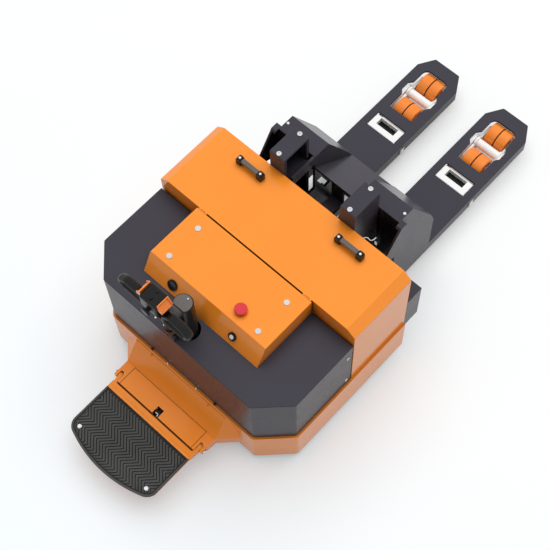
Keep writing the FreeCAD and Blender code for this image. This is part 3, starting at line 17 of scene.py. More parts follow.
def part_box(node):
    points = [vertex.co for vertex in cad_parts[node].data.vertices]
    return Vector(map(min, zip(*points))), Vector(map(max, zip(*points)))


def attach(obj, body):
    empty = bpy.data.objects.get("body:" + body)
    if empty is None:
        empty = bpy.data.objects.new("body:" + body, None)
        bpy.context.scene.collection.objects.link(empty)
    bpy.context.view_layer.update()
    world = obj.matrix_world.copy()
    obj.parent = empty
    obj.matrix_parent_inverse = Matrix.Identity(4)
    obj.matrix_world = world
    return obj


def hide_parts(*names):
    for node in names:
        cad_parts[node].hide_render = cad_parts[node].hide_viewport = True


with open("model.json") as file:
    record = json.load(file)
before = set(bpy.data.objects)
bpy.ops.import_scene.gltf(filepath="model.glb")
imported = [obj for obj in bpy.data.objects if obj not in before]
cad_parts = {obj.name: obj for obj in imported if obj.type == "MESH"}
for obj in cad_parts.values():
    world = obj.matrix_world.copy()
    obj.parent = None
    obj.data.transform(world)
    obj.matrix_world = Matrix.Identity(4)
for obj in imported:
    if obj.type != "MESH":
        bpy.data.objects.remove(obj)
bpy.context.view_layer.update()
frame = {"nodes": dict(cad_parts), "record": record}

# %% [markdown]
# ## Where things are
# A maker measures this truck from the seam between the console and the battery lid, because both
# covers end there. Keeping that habit means that a screw's place can be read off the drawing in
# millimetres. One helper turns such a measure into metres in the truck's own frame.

# %% Measure from the seam
seam_x = -0.248


def place(x, y, z):
    return Vector((seam_x + x / 1000, y / 1000, z / 1000))


print("the seam stands", seam_x, "m from the middle of the truck")

# %% [markdown]
# ## The camera
# A product shot from above the step: the camera stands high over the step's end, on the truck's
# right, and looks down at about 65 degrees through a short telephoto lens, which keeps parallel
# edges nearly parallel. A track rotation aims it, and a small turn about its own axis gives the
# slight lean.

# %% Aim the camera
lens_length = 83.329
sensor_width = 36.0
camera_place = Vector((-1.50517, -1.35757, 4.36839))
look_at = Vector((-0.15700, -0.00239, 0.3))
lean_angle = math.radians(-2.679)

camera_data = bpy.data.cameras.new("overhead_camera")
camera_data.lens = lens_length
camera_data.sensor_width = sensor_width
camera = bpy.data.objects.new("overhead_camera", camera_data)
bpy.context.scene.collection.objects.link(camera)
camera.location = camera_place
aim = (look_at - camera_place).to_track_quat("-Z", "Y").to_matrix().to_4x4()
camera.rotation_euler = (aim @ Matrix.Rotation(lean_angle, 4, "Z")).to_euler()
bpy.context.scene.camera = camera
print("the camera looks from", round((look_at - camera_place).length, 2), "m away")

# %% [markdown]
# ## Light
# The studio is a white room with one large soft lamp above the fork end, a little to the left.
# A white room could be a real box of lamps, but a plain world colour gives the same even fill and
# nothing to hide. The camera and shiny surfaces see that world as pure white, while it lights the
# truck at about two fifths of that, so that colours come out as they are written. The lamp itself
# stays out of reflections, as a lamp behind a diffuser would.

# %% Light the studio
bpy.context.scene.view_settings.view_transform = "Standard"
fill_strength = 0.38
lamp_strength = 2.30
lamp_spread = math.radians(68)
lamp_tilt_back = math.radians(17)
lamp_tilt_left = math.radians(5)


def seen_or_mirrored(tree):
    # One for rays that the eye follows, straight on, in a mirror or through glass, else nought.
    path = tree.nodes.new("ShaderNodeLightPath")
    largest = path.outputs["Is Camera Ray"]
    for ray in ("Is Glossy Ray", "Is Transmission Ray"):
        either = tree.nodes.new("ShaderNodeMath")
        either.operation = "MAXIMUM"
        tree.links.new(largest, either.inputs[0])
        tree.links.new(path.outputs[ray], either.inputs[1])
        largest = either.outputs[0]
    return largest


world = bpy.data.worlds.new("white_room")
bpy.context.scene.world = world
world.use_nodes = True
room = world.node_tree.nodes
wires = world.node_tree.links
fill = room["Background"]
fill.inputs["Color"].default_value = (1, 1, 1, 1)
fill.inputs["Strength"].default_value = fill_strength
white = room.new("ShaderNodeBackground")
white.inputs["Color"].default_value = (1, 1, 1, 1)
choice = room.new("ShaderNodeMixShader")
wires.new(seen_or_mirrored(world.node_tree), choice.inputs[0])
wires.new(fill.outputs[0], choice.inputs[1])
wires.new(white.outputs[0], choice.inputs[2])
wires.new(choice.outputs[0], room["World Output"].inputs["Surface"])

lamp_data = bpy.data.lights.new("soft_lamp", "SUN")
lamp_data.energy = lamp_strength
lamp_data.angle = lamp_spread
lamp = bpy.data.objects.new("soft_lamp", lamp_data)
bpy.context.scene.collection.objects.link(lamp)
lamp.rotation_euler = (-lamp_tilt_left, lamp_tilt_back, 0)
lamp.visible_glossy = False
print("fill", fill_strength, "and lamp", lamp_strength)

# %% [markdown]
# ## Floor
# The floor is a plain pale grey sheet that keeps the soft shadow and throws little light back up.
# To the camera it is also a faint light table, which lifts the grey to white. The sheet is a shade
# cooler at the step's end, which evens out the warm light that the orange apron throws on it.

# %% Lay the floor
floor_half = 9
floor_roughness = 0.9
floor_glow = 0.33
cool_grey = (0.588, 0.630, 0.652, 1)
even_grey = (0.628, 0.637, 0.639, 1)
cool_end = -1.1
even_end = 0.6


def mesh_object(bm, name):
    # Turns a drawn mesh into an object of the scene.
    mesh = bpy.data.meshes.new(name)
    bm.to_mesh(mesh)
    bm.free()
    thing = bpy.data.objects.new(name, mesh)
    bpy.context.scene.collection.objects.link(thing)
    return thing


floor_bm = bmesh.new()
bmesh.ops.create_grid(floor_bm, x_segments=1, y_segments=1, size=floor_half)
floor = mesh_object(floor_bm, "studio_floor")
floor_finish = bpy.data.materials.new("floor_sheet")
floor_finish.use_nodes = True
sheet = floor_finish.node_tree.nodes
sheet_wires = floor_finish.node_tree.links
floor_shader = sheet["Principled BSDF"]
floor_shader.inputs["Roughness"].default_value = floor_roughness
floor_shader.inputs["Specular IOR Level"].default_value = 0.0
spots = sheet.new("ShaderNodeTexCoord")
along = sheet.new("ShaderNodeSeparateXYZ")
from_step = sheet.new("ShaderNodeMapRange")
from_step.inputs["From Min"].default_value = cool_end
from_step.inputs["From Max"].default_value = even_end
greys = sheet.new("ShaderNodeValToRGB")
greys.color_ramp.elements[0].color = cool_grey
greys.color_ramp.elements[1].color = even_grey
sheet_wires.new(spots.outputs["Object"], along.inputs[0])
sheet_wires.new(along.outputs["X"], from_step.inputs["Value"])
sheet_wires.new(from_step.outputs["Result"], greys.inputs["Fac"])
sheet_wires.new(greys.outputs["Color"], floor_shader.inputs["Base Color"])
glow = sheet.new("ShaderNodeEmission")
glow_share = sheet.new("ShaderNodeMath")
glow_share.operation = "MULTIPLY"
glow_share.inputs[1].default_value = floor_glow
lit_sheet = sheet.new("ShaderNodeAddShader")
sheet_wires.new(seen_or_mirrored(floor_finish.node_tree), glow_share.inputs[0])
sheet_wires.new(glow_share.outputs[0], glow.inputs["Strength"])
sheet_wires.new(floor_shader.outputs[0], lit_sheet.inputs[0])
sheet_wires.new(glow.outputs[0], lit_sheet.inputs[1])
sheet_wires.new(lit_sheet.outputs[0], sheet["Material Output"].inputs["Surface"])
floor.data.materials.append(floor_finish)
print("the floor reaches", floor_half, "m each way")

# %% [markdown]
# ## Tools for a finish
# No paint or plastic is one flat colour: it has a slow drift of tone, a fine grain that the light
# catches, and patches that are a little shinier than others. Each of those three is a noise
# pattern on Object coordinates, joined to the shader's colour, its normal or its roughness.
# Four small helpers make them, so that each finish below is a few readable lines. A fifth one
# paints shade into a paint's hollows: the less open air a spot sees, the darker its colour.

# %% Make the finish tools
finishes = {}
# Nearly all of a noise pattern lies between these two values.
pattern_low = 0.3
pattern_high = 0.7
coat_roughness = 0.08
# Painted shade: a spot that sees this share of the open air, or less, keeps only the darkest
# share of its colour.
most_shut_in = 0.10
darkest_share = 0.10
hollow_samples = 8


def linear(red, green, blue):
    # Screen colours, 0 to 255, as the light values that a shader works in.
    values = []
    for shade in (red, green, blue):
        level = shade / 255
        values.append(level / 12.92 if level <= 0.04045 else ((level + 0.055) / 1.055) ** 2.4)
    return values + [1.0]


def start_finish(name, metallic=0.0, coat=0.0, shine=0.5):
    finish = bpy.data.materials.new(name)
    finish.use_nodes = True
    shader = finish.node_tree.nodes["Principled BSDF"]
    shader.inputs["Metallic"].default_value = metallic
    shader.inputs["Specular IOR Level"].default_value = shine
    shader.inputs["Coat Weight"].default_value = coat
    shader.inputs["Coat Roughness"].default_value = coat_roughness
    finishes[name] = finish
    return finish


def speckle(finish, scale, detail=3.0, squeeze=(1, 1, 1)):
    # A noise pattern with about this many spots to the metre, before it is squeezed.
    nodes = finish.node_tree.nodes
    links = finish.node_tree.links
    coords = nodes.new("ShaderNodeTexCoord")
    mapping = nodes.new("ShaderNodeMapping")
    mapping.inputs["Scale"].default_value = squeeze
    noise = nodes.new("ShaderNodeTexNoise")
    noise.inputs["Scale"].default_value = scale
    noise.inputs["Detail"].default_value = detail
    links.new(coords.outputs["Object"], mapping.inputs["Vector"])
    links.new(mapping.outputs["Vector"], noise.inputs["Vector"])
    return noise.outputs["Fac"]


def tint(finish, pattern, first, second):
    nodes = finish.node_tree.nodes
    ramp = nodes.new("ShaderNodeValToRGB")
    ramp.color_ramp.elements[0].position = pattern_low
    ramp.color_ramp.elements[1].position = pattern_high
    ramp.color_ramp.elements[0].color = first
    ramp.color_ramp.elements[1].color = second
    finish.node_tree.links.new(pattern, ramp.inputs["Fac"])
    finish.node_tree.links.new(ramp.outputs["Color"], nodes["Principled BSDF"].inputs["Base Color"])


def gloss(finish, pattern, smoothest, roughest):
    nodes = finish.node_tree.nodes
    spread = nodes.new("ShaderNodeMapRange")
    spread.inputs["From Min"].default_value = pattern_low
    spread.inputs["From Max"].default_value = pattern_high
    spread.inputs["To Min"].default_value = smoothest
    spread.inputs["To Max"].default_value = roughest
    finish.node_tree.links.new(pattern, spread.inputs["Value"])
    finish.node_tree.links.new(spread.outputs["Result"], nodes["Principled BSDF"].inputs["Roughness"])


def relief(finish, pattern, depth, strength):
    nodes = finish.node_tree.nodes
    bump = nodes.new("ShaderNodeBump")
    bump.inputs["Distance"].default_value = depth
    bump.inputs["Strength"].default_value = strength
    finish.node_tree.links.new(pattern, bump.inputs["Height"])
    finish.node_tree.links.new(bump.outputs["Normal"], nodes["Principled BSDF"].inputs["Normal"])


def shade_hollows(finish, reach, open_share):
    # Painted shade: the less of the open air a spot sees within this reach, the darker its colour.
    nodes = finish.node_tree.nodes
    links = finish.node_tree.links
    colour_input = nodes["Principled BSDF"].inputs["Base Color"]
    openness = nodes.new("ShaderNodeAmbientOcclusion")
    openness.samples = hollow_samples
    openness.inputs["Distance"].default_value = reach
    shade = nodes.new("ShaderNodeMapRange")
    shade.inputs["From Min"].default_value = most_shut_in
    shade.inputs["From Max"].default_value = open_share
    shade.inputs["To Min"].default_value = darkest_share
    darken = nodes.new("ShaderNodeVectorMath")
    darken.operation = "SCALE"
    links.new(openness.outputs["AO"], shade.inputs["Value"])
    links.new(colour_input.links[0].from_socket, darken.inputs[0])
    links.new(shade.outputs["Result"], darken.inputs["Scale"])
    links.new(darken.outputs["Vector"], colour_input)


print("finish tools ready")

# %% [markdown]
# ## Paint
# The covers are sheet metal under a glossy sprayed coat, and the forks, carriage and drive cover
# wear a satin powder coat. Sprayed paint dries with a faint ripple, called orange peel, about two
# millimetres across; powder is finer and duller. Both paints also carry painted shade: they turn
# darker in the deep pockets of the carriage and in the seams of the covers, where little open air
# is in reach.

# %% Mix the paints
# Each row: two tones, smoothest and roughest gloss, clear coat, shine, ripples to the metre.
paints = {
    "orange_paint": (linear(252, 148, 46), linear(250, 145, 44), 0.14, 0.18, 0.0, 0.35, 420),
    "dark_paint": (linear(67, 65, 73), linear(65, 63, 71), 0.24, 0.28, 0.0, 0.10, 900),
    "chassis_paint": (linear(26, 26, 28), linear(23, 23, 25), 0.45, 0.55, 0.0, 0.2, 900),
    "white_metal": (linear(246, 246, 245), linear(242, 242, 241), 0.28, 0.36, 0.2, 0.5, 600),
    "grey_metal": (linear(97, 92, 88), linear(92, 87, 84), 0.36, 0.44, 0.0, 0.5, 800),
}
paint_drift = 5
paint_patches = 14
ripple_depth = 0.0004
ripple_strength = 0.015
for name, (first, second, smoothest, roughest, coat, shine, ripples) in paints.items():
    paint = start_finish(name, coat=coat, shine=shine)
    tint(paint, speckle(paint, paint_drift), first, second)
    gloss(paint, speckle(paint, paint_patches), smoothest, roughest)
    relief(paint, speckle(paint, ripples, detail=1.0), ripple_depth, ripple_strength)
    print("mixed", name)

# %% Paint shade into the pockets and seams
pocket_reach = 0.25
pocket_open = 0.55
seam_reach = 0.06
seam_open = 0.75
# Painted shade: both paints turn darker where little open air is in reach.
shade_hollows(finishes["dark_paint"], pocket_reach, pocket_open)
shade_hollows(finishes["orange_paint"], seam_reach, seam_open)
print("darkened pockets within", pocket_reach, "m and seams within", seam_reach, "m")

# %% [markdown]
# ## Bare and cast metal
# Turned and drawn steel keeps fine lines along the way it was worked, so its noise is squeezed along
# one axis, which turns the spots into lines. Chrome is smoother and brighter. Castings have a sandy
# skin: a coarser and deeper bump with a dull, patchy gloss.

# %% Finish the metals
# Each row: two tones, smoothest and roughest gloss, and how much each axis is squeezed.
worked = {
    "steel": (linear(176, 176, 178), linear(154, 154, 157), 0.24, 0.38, (60, 1, 1)),
    "chrome": (linear(226, 226, 228), linear(214, 214, 217), 0.10, 0.20, (1, 1, 20)),
}
metal_drift = 9
metal_spots = 30
line_depth = 0.0002
line_strength = 0.08
for name, (first, second, smoothest, roughest, squeeze) in worked.items():
    metal = start_finish(name, metallic=1.0)
    tint(metal, speckle(metal, metal_drift), first, second)
    gloss(metal, speckle(metal, metal_spots, squeeze=squeeze), smoothest, roughest)
    relief(metal, speckle(metal, metal_spots, squeeze=squeeze), line_depth, line_strength)
    print("finished", name)

cast_drift = 12
cast_patches = 60
sand_grains = 500
sand_depth = 0.0006
sand_strength = 0.35
casting = start_finish("cast", metallic=0.6)
tint(casting, speckle(casting, cast_drift), linear(84, 84, 86), linear(64, 64, 66))
gloss(casting, speckle(casting, cast_patches), smoothest=0.5, roughest=0.68)
relief(casting, speckle(casting, sand_grains, detail=4.0), sand_depth, sand_strength)
print("finished cast")

# %% [markdown]
# ## Plastic and rubber
# Moulded handles and dial rings have a leathery grain from the mould, and the coloured buttons are
# polished. Rubber scatters light: it is rough all over, with tiny pits and a paler bloom in places.
# The rubber between the mat's ribs is painted darker than the ribs and the bead, as painted shade
# in the grooves.

# %% Mould the plastics and rubbers
# Each row: two tones, smoothest and roughest gloss, clear coat, shine, grains to the metre and how
# strongly they show.
moulded = {
    "black_plastic": (linear(18, 18, 17), linear(15, 15, 14), 0.30, 0.38, 0.0, 0.25, 1300, 0.06),
    "orange_plastic": (linear(250, 138, 46), linear(244, 130, 40), 0.26, 0.36, 0.2, 0.5, 900, 0.05),
    "red_plastic": (linear(214, 34, 50), linear(204, 28, 44), 0.24, 0.34, 0.3, 0.5, 900, 0.04),
    "battery_case": (linear(46, 48, 52), linear(40, 42, 46), 0.42, 0.56, 0.0, 0.5, 1100, 0.12),
    # The mat's rubber is painted darker than its ribs and bead: painted shade in the grooves.
    "mat_rubber": (linear(40, 40, 39), linear(36, 36, 35), 0.62, 0.78, 0.0, 0.3, 1500, 0.22),
    "lit_rib_rubber": (linear(74, 74, 73), linear(68, 68, 67), 0.58, 0.70, 0.0, 0.4, 1500, 0.12),
    "tyre_rubber": (linear(44, 44, 44), linear(34, 34, 34), 0.66, 0.82, 0.0, 0.5, 900, 0.25),
    "roller_tread": (linear(250, 142, 42), linear(242, 130, 34), 0.28, 0.40, 0.15, 0.5, 700, 0.06),
}
plastic_drift = 8
plastic_patches = 20
grain_depth = 0.0005
for name, (first, second, smoothest, roughest, coat, shine, grains, strength) in moulded.items():
    plastic = start_finish(name, coat=coat, shine=shine)
    tint(plastic, speckle(plastic, plastic_drift), first, second)
    gloss(plastic, speckle(plastic, plastic_patches), smoothest, roughest)
    relief(plastic, speckle(plastic, grains, detail=2.0), grain_depth, strength)
    print("moulded", name)

# %% [markdown]
# ## Finishing the solids
# The truck's record says which finish each solid takes, so a loop over that list paints them all.
# A list typed out again here could fall behind the model; the record can't.

# %% Paint the solids
for row in frame["record"]["subparts"]:
    solid = frame["nodes"][row["node"]].data
    solid.materials.clear()
    solid.materials.append(finishes[row["material_slot"]])

# %% [markdown]
# ## Tools for a new piece
# Most small parts of a truck are turned: a profile goes once round an axis. The lathe helper
# draws half a profile as a chain of vertices and spins it. Two more raise a flat outline and soften
# edges. The last helper closes the mesh, shades it smooth up to its sharp edges and hands it to the
# body that carries it.

# %% Make the modelling tools
up = Vector((0, 0, 1))
left = Vector((0, 1, 0))
weld_distance = 0.000005
sharp_angle = math.radians(35)


def stand_at(centre, axis):
    # The turn and the shift that take a thing on the Z axis to its place.
    return Matrix.Translation(centre) @ up.rotation_difference(axis).to_matrix().to_4x4()


def turn_on_lathe(bm, profile, centre, axis=up, steps=24):
    stand = stand_at(centre, axis)
    chain = [bm.verts.new(stand @ Vector((radius, 0, height))) for radius, height in profile]
    runs = [bm.edges.new(ends) for ends in zip(chain, chain[1:])]
    bmesh.ops.spin(bm, geom=chain + runs, cent=centre, axis=axis, angle=math.tau, steps=steps,
                   use_merge=True)


def corners_of(geometry):
    return [part for part in geometry if isinstance(part, bmesh.types.BMVert)]


def raise_faces(bm, height):
    # Lifts all faces and leaves walls below them. Gives back what was lifted.
    lifted = bmesh.ops.extrude_face_region(bm, geom=bm.faces[:])["geom"]
    bmesh.ops.translate(bm, verts=corners_of(lifted), vec=(0, 0, height))
    return lifted


def soften(bm, edges, width):
    bmesh.ops.bevel(bm, geom=edges, affect="EDGES", offset=width, segments=2, profile=0.5, material=-1)


def finished_mesh(thing):
    # The mesh that a curve, or an object with modifiers, comes out as.
    bpy.context.view_layer.update()
    graph = bpy.context.evaluated_depsgraph_get()
    return bpy.data.meshes.new_from_object(thing.evaluated_get(graph))


def add_piece(bm, name, finish, body):
    bmesh.ops.remove_doubles(bm, verts=bm.verts, dist=weld_distance)
    bmesh.ops.recalc_face_normals(bm, faces=bm.faces)
    piece = mesh_object(bm, name)
    piece.data.shade_smooth()
    piece.data.set_sharp_from_angle(angle=sharp_angle)
    piece.data.materials.append(finishes[finish])
    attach(piece, body)
    print(name, "has", len(piece.data.polygons), "faces and rides on", body)
    return piece


print("modelling tools ready")

# %% [markdown]
# ## The step's bowed edge
# The front edge of the step is a deep, even bow. The solid step has a flatter one, so the step and
# its mat are redrawn: each is a copy of its solid, a little narrower and drawn out along the truck
# until its front edge follows the deeper bow, and it stands for that solid. The rubber sheet rests
# on the step's rim, so that no paint shows round it.

# %% Bow the step and its mat
step_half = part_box("platform_pan")[1].y
mat_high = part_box("platform_mat")[1]
mat_half = mat_high.y
mat_top = mat_high.z
hinge_edge = mat_high.x
flat_bow = 0.025
deep_bow = 0.045
deep_edge = place(-800, 0, 0).x
narrow_half = 0.2018
strip_width = 0.0285
strip_edge = hinge_edge + strip_width
rim_cover = 0.0004
sheet_thickness = 0.0019


def copy_with_deep_bow(node, half, new_half, new_edge):
    # The solid's stored normals fit its old shape, so the copy goes without them.
    plain = frame["nodes"][node].data.copy()
    if plain.has_custom_normals:
        plain.attributes.remove(plain.attributes["custom_normal"])
    bm = bmesh.new()
    bm.from_mesh(plain)
    bpy.data.meshes.remove(plain)
    flat_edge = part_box(node)[0].x
    for point in bm.verts:
        if point.co.x < hinge_edge:
            sweep = (point.co.y / step_half) ** 2
            flat_reach = hinge_edge - flat_edge - flat_bow * sweep
            deep_reach = hinge_edge - new_edge - deep_bow * sweep
            point.co.x = hinge_edge - (hinge_edge - point.co.x) * deep_reach / flat_reach
        if point.co.x < strip_edge:
            point.co.y *= new_half / half
    return bm


pan_bm = copy_with_deep_bow("platform_pan", step_half, narrow_half, deep_edge)
step_pan = add_piece(pan_bm, "step_pan", "orange_paint", "step")
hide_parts("platform_pan")

sheet_bm = copy_with_deep_bow("platform_mat", mat_half, narrow_half + rim_cover, deep_edge - rim_cover)
for point in sheet_bm.verts:
    point.co.z = max(point.co.z, mat_top - sheet_thickness)
mat_sheet = add_piece(sheet_bm, "mat_sheet", "mat_rubber", "step")
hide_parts("platform_mat")

# %% [markdown]
# ## The rubber mat's ribs
# The mat is moulded with zigzag ribs so that a shoe grips in every direction. Each rib is one zigzag
# line from the hinge to the front edge. A texture could fake it, but raised rubber catches the light
# at its edges, so the ribs are real: a zigzag chain of edges is widened, raised and copied across the
# step, and then trimmed to the mat's outline by a boolean.

# %% Draw the mat's outline
facing_up = 0.9


def mat_face(inset):
    # The mat's top as one flat face, drawn in by an inset on all sides.
    bm = bmesh.new()
    bm.from_mesh(mat_sheet.data)
    others = [face for face in bm.faces if face.normal.z < facing_up]
    bmesh.ops.delete(bm, geom=others, context="FACES")
    bmesh.ops.dissolve_faces(bm, faces=bm.faces[:])
    ring = bmesh.ops.inset_region(bm, faces=bm.faces[:], thickness=inset, use_boundary=True,
                                  use_even_offset=True)
    bmesh.ops.delete(bm, geom=ring["faces"], context="FACES")
    return bm


print("the mat is", round(2 * narrow_half, 3), "m wide and", round(hinge_edge - deep_edge, 3), "m long")

# %% Raise the ribs
mat_border = 0.0115
rib_pitch = 0.01475
rib_width = 0.0095
rib_height = 0.0024
rib_root = 0.0004
leg = 0.03685
first_bend = place(-546.7, 0, 0).x
bends = math.ceil((first_bend - deep_edge) / leg) + 1

ribs_bm = bmesh.new()
first_side = -rib_pitch * math.ceil((step_half + leg) / rib_pitch) - rib_width / 2
line = []
for i in range(bends):
    bend = (first_bend - i * leg, first_side + (i % 2) * leg, mat_top - rib_root)
    line.append(ribs_bm.verts.new(bend))
zig = [ribs_bm.edges.new(ends) for ends in zip(line, line[1:])]
wide = bmesh.ops.extrude_edge_only(ribs_bm, edges=zig)
bmesh.ops.translate(ribs_bm, verts=corners_of(wide["geom"]), vec=(0, rib_width, 0))
raise_faces(ribs_bm, rib_root + rib_height)
first_rib = ribs_bm.verts[:] + ribs_bm.edges[:] + ribs_bm.faces[:]
ribs = math.ceil((2 * step_half + leg) / rib_pitch) + 2
for i in range(1, ribs):
    copy = bmesh.ops.duplicate(ribs_bm, geom=first_rib)
    bmesh.ops.translate(ribs_bm, verts=corners_of(copy["geom"]), vec=(0, i * rib_pitch, 0))
mat_ribs = add_piece(ribs_bm, "mat_ribs", "lit_rib_rubber", "step")

# %% Trim the ribs to the mat
trim_below = 0.003
trim_height = 0.008
trim_bm = mat_face(mat_border)
bmesh.ops.translate(trim_bm, verts=trim_bm.verts[:], vec=(0, 0, -trim_below))
raise_faces(trim_bm, trim_height)
bmesh.ops.recalc_face_normals(trim_bm, faces=trim_bm.faces)
trim = mesh_object(trim_bm, "mat_trim")
cutting = mat_ribs.modifiers.new("trim", "BOOLEAN")
cutting.operation = "INTERSECT"
cutting.solver = "EXACT"
cutting.object = trim
trimmed = finished_mesh(mat_ribs)
mat_ribs.modifiers.clear()
mat_ribs.data = trimmed
bpy.data.objects.remove(trim)
print("trimmed", ribs, "ribs to", len(trimmed.polygons), "faces")

# %% [markdown]
# ## The mat's edge and rivets
# A flat bead runs along the mat's sides and front, and two white rivets hold the far corners.
# The bead is the same outline, inset twice: the strip between the two insets is raised.

# %% Raise the edge bead
bead_inset = 0.0008
bead_width = 0.0070
bead_bm = mat_face(bead_inset)
inner = bead_bm.faces[:]
strip = bmesh.ops.inset_region(bead_bm, faces=inner, thickness=bead_width, use_boundary=True,
                               use_even_offset=True)["faces"]
at_hinge = [face for face in strip if face.calc_center_median().x > hinge_edge - bead_width]
bmesh.ops.delete(bead_bm, geom=inner + at_hinge, context="FACES")
bmesh.ops.translate(bead_bm, verts=bead_bm.verts[:], vec=(0, 0, -rib_root))
raise_faces(bead_bm, rib_root + rib_height)
add_piece(bead_bm, "mat_bead", "lit_rib_rubber", "step")

# %% Set the rivets
rivet_x = -740
rivet_side = 165.5
rivet_radius = 0.0085
rivet_profile = [(0, 0.0042), (rivet_radius * 0.5, 0.0038), (rivet_radius * 0.86, 0.0026),
                 (rivet_radius, 0.001), (rivet_radius, -0.001), (0, -0.001)]
rivets_bm = bmesh.new()
for y in (-rivet_side, rivet_side):
    seat = place(rivet_x, y, 0)
    seat.z = mat_top
    turn_on_lathe(rivets_bm, rivet_profile, seat)
add_piece(rivets_bm, "mat_rivets", "white_metal", "step")

# %% [markdown]
# ## Screws
# Button head screws hold the covers, handles and carriage together. A head is a turned dome with a
# hexagon socket. The dome is spun with an open top, a hexagon is laid in the opening and bridged to
# its rim, and then the hexagon is pushed down, because a lathe can't cut flat sides.

# %% Make a socket screw
# The dome's points, as shares of the head's radius and height.
screw_dome = ((0.8, 0.86), (0.97, 0.5), (1, 0.12))
screw_seat = 0.0006
socket_share = 0.48
socket_depth = 0.6
rim_share = 1.2
rim_slack = 1.01


def add_screw(bm, centre, axis, radius, height):
    socket = socket_share * radius
    rim_radius = rim_share * socket
    profile = [(rim_radius, height)]
    profile += [(radius * out, height * rise) for out, rise in screw_dome]
    profile += [(radius, -screw_seat), (0, -screw_seat)]
    turn_on_lathe(bm, profile, centre, axis)
    stand = stand_at(centre, axis)
    rim_middle = stand @ Vector((0, 0, height))
    rim = []
    for edge in bm.edges:
        if all((point.co - rim_middle).length < rim_radius * rim_slack for point in edge.verts):
            rim.append(edge)
    hexagon = bmesh.ops.create_circle(bm, segments=6, radius=socket, cap_ends=True,
                                      matrix=stand @ Matrix.Translation((0, 0, height)))
    sides = list({edge for point in hexagon["verts"] for edge in point.link_edges})
    socket_face = sides[0].link_faces[0]
    bmesh.ops.bridge_loops(bm, edges=rim + sides)
    sunk = bmesh.ops.extrude_discrete_faces(bm, faces=[socket_face])["faces"][0]
    bmesh.ops.translate(bm, verts=sunk.verts[:], vec=-axis * height * socket_depth)


print("screw tool ready")

# %% [markdown]
# ## Where the screws go
# Each row names a set of screws, the body that carries it, its finish, the radius and height of its
# heads, its direction and its places on the drawing. Screws on the truck's sides point outwards, so
# a mirrored place gets a mirrored direction; the apron's two bolts stand square to its slope.

# %% Drive the screws
apron_slope = Vector((-96, 0, 65)).normalized()
foot_top = 639
cover_top = 525
cover_side = 440
cover_heights = (458.5, 263)
ledge = 224
screw_sets = [
    ("handle_screws", "lid", "white_metal", 4.6, 2.6, up,
     [(221, middle + side, foot_top) for middle in (-223, 223) for side in (-47, 47)]),
    ("carriage_screws", "carriage", "white_metal", 5.5, 3.0, up,
     [(456, y, 584) for y in (-265, 265)]),
    ("apron_bolts", "chassis", "orange_paint", 5.0, 3.0, apron_slope,
     [(-397.3, y, 209.7) for y in (-138, 138)]),
    ("ledge_screws", "chassis", "chrome", 3.6, 2.4, up,
     [(-385, y, ledge) for y in (-69, 69)]),
    ("cover_top_screws", "chassis", "white_metal", 3.4, 2.0, up,
     [(-361, 109, cover_top), (-354, 74.5, cover_top), (-361, 69.5, cover_top)]),
    ("left_cover_screws", "chassis", "white_metal", 6.5, 3.0, left,
     [(-25, cover_side, z) for z in cover_heights]),
    ("right_cover_screws", "chassis", "white_metal", 6.5, 3.0, -left,
     [(-25, -cover_side, z) for z in cover_heights]),
]
for name, body, finish, radius, height, axis, places in screw_sets:
    screws_bm = bmesh.new()
    for spot in places:
        add_screw(screws_bm, place(*spot), axis, radius / 1000, height / 1000)
    add_piece(screws_bm, name, finish, body)

# %% [markdown]
# ## The column's cap
# The steering column is a post with one flat side, closed by a grey plate with a white dot that
# shows where straight ahead is. The plate is a circle cut by a plane, raised a little and
# bevelled so that its edge shines.

# %% Cap the column
column = place(-318, 0, 0)
column.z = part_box("tiller_column")[1].z
cap_radius = 0.0308
cap_flat = 0.0210
cap_height = 0.0016
cap_edge = 0.0005
cap_bm = bmesh.new()
bmesh.ops.create_circle(cap_bm, segments=48, radius=cap_radius, cap_ends=True,
                        matrix=Matrix.Translation(column))
bmesh.ops.bisect_plane(cap_bm, geom=cap_bm.verts[:] + cap_bm.edges[:] + cap_bm.faces[:],
                       plane_co=column - Vector((cap_flat, 0, 0)), plane_no=(-1, 0, 0), clear_outer=True)
lifted = raise_faces(cap_bm, cap_height)
soften(cap_bm, [part for part in lifted if isinstance(part, bmesh.types.BMEdge)], cap_edge)
add_piece(cap_bm, "column_cap", "grey_metal", "column")

dot_profile = [(0, 0.0008), (0.0018, 0.0006), (0.0026, 0.0), (0.0026, -0.0005), (0, -0.0005)]
dot_seat = column + Vector((0.021, -0.002, cap_height))
dot_bm = bmesh.new()
turn_on_lathe(dot_bm, dot_profile, dot_seat, steps=16)
add_piece(dot_bm, "straight_ahead_dot", "white_metal", "column")

# %% [markdown]
# ## The gauge's glass
# The charge gauge is a black ring let into the console's slope, with a slightly domed smoky glass.
# The dome is turned about the slope's own direction, so that it sits square in its ring.

# %% Glaze the gauge
slope_out = Vector((-83, 0, 44)).normalized()
glass_rise = 0.004
glass_seat = place(-247.7, 136, 559.5) + slope_out * glass_rise
glass_drift = 40
glass_patches = 60
glass = start_finish("gauge_glass", shine=0.3)
tint(glass, speckle(glass, glass_drift), linear(30, 34, 43), linear(25, 28, 37))
gloss(glass, speckle(glass, glass_patches), smoothest=0.08, roughest=0.14)
lens_profile = [(0, 0.0018), (0.006, 0.0015), (0.010, 0.0009), (0.0136, 0.0002), (0.0140, -0.0003),
                (0, -0.0003)]
lens_bm = bmesh.new()
turn_on_lathe(lens_bm, lens_profile, glass_seat, slope_out, steps=32)
add_piece(lens_bm, "gauge_lens", "gauge_glass", "chassis")

# %% [markdown]
# ## The wire hook
# A bent wire hook hangs behind the battery lid. A wire is easiest as a curve with a round section:
# a few points give its bends, and the curve is turned into a mesh so that it is a piece like the rest.

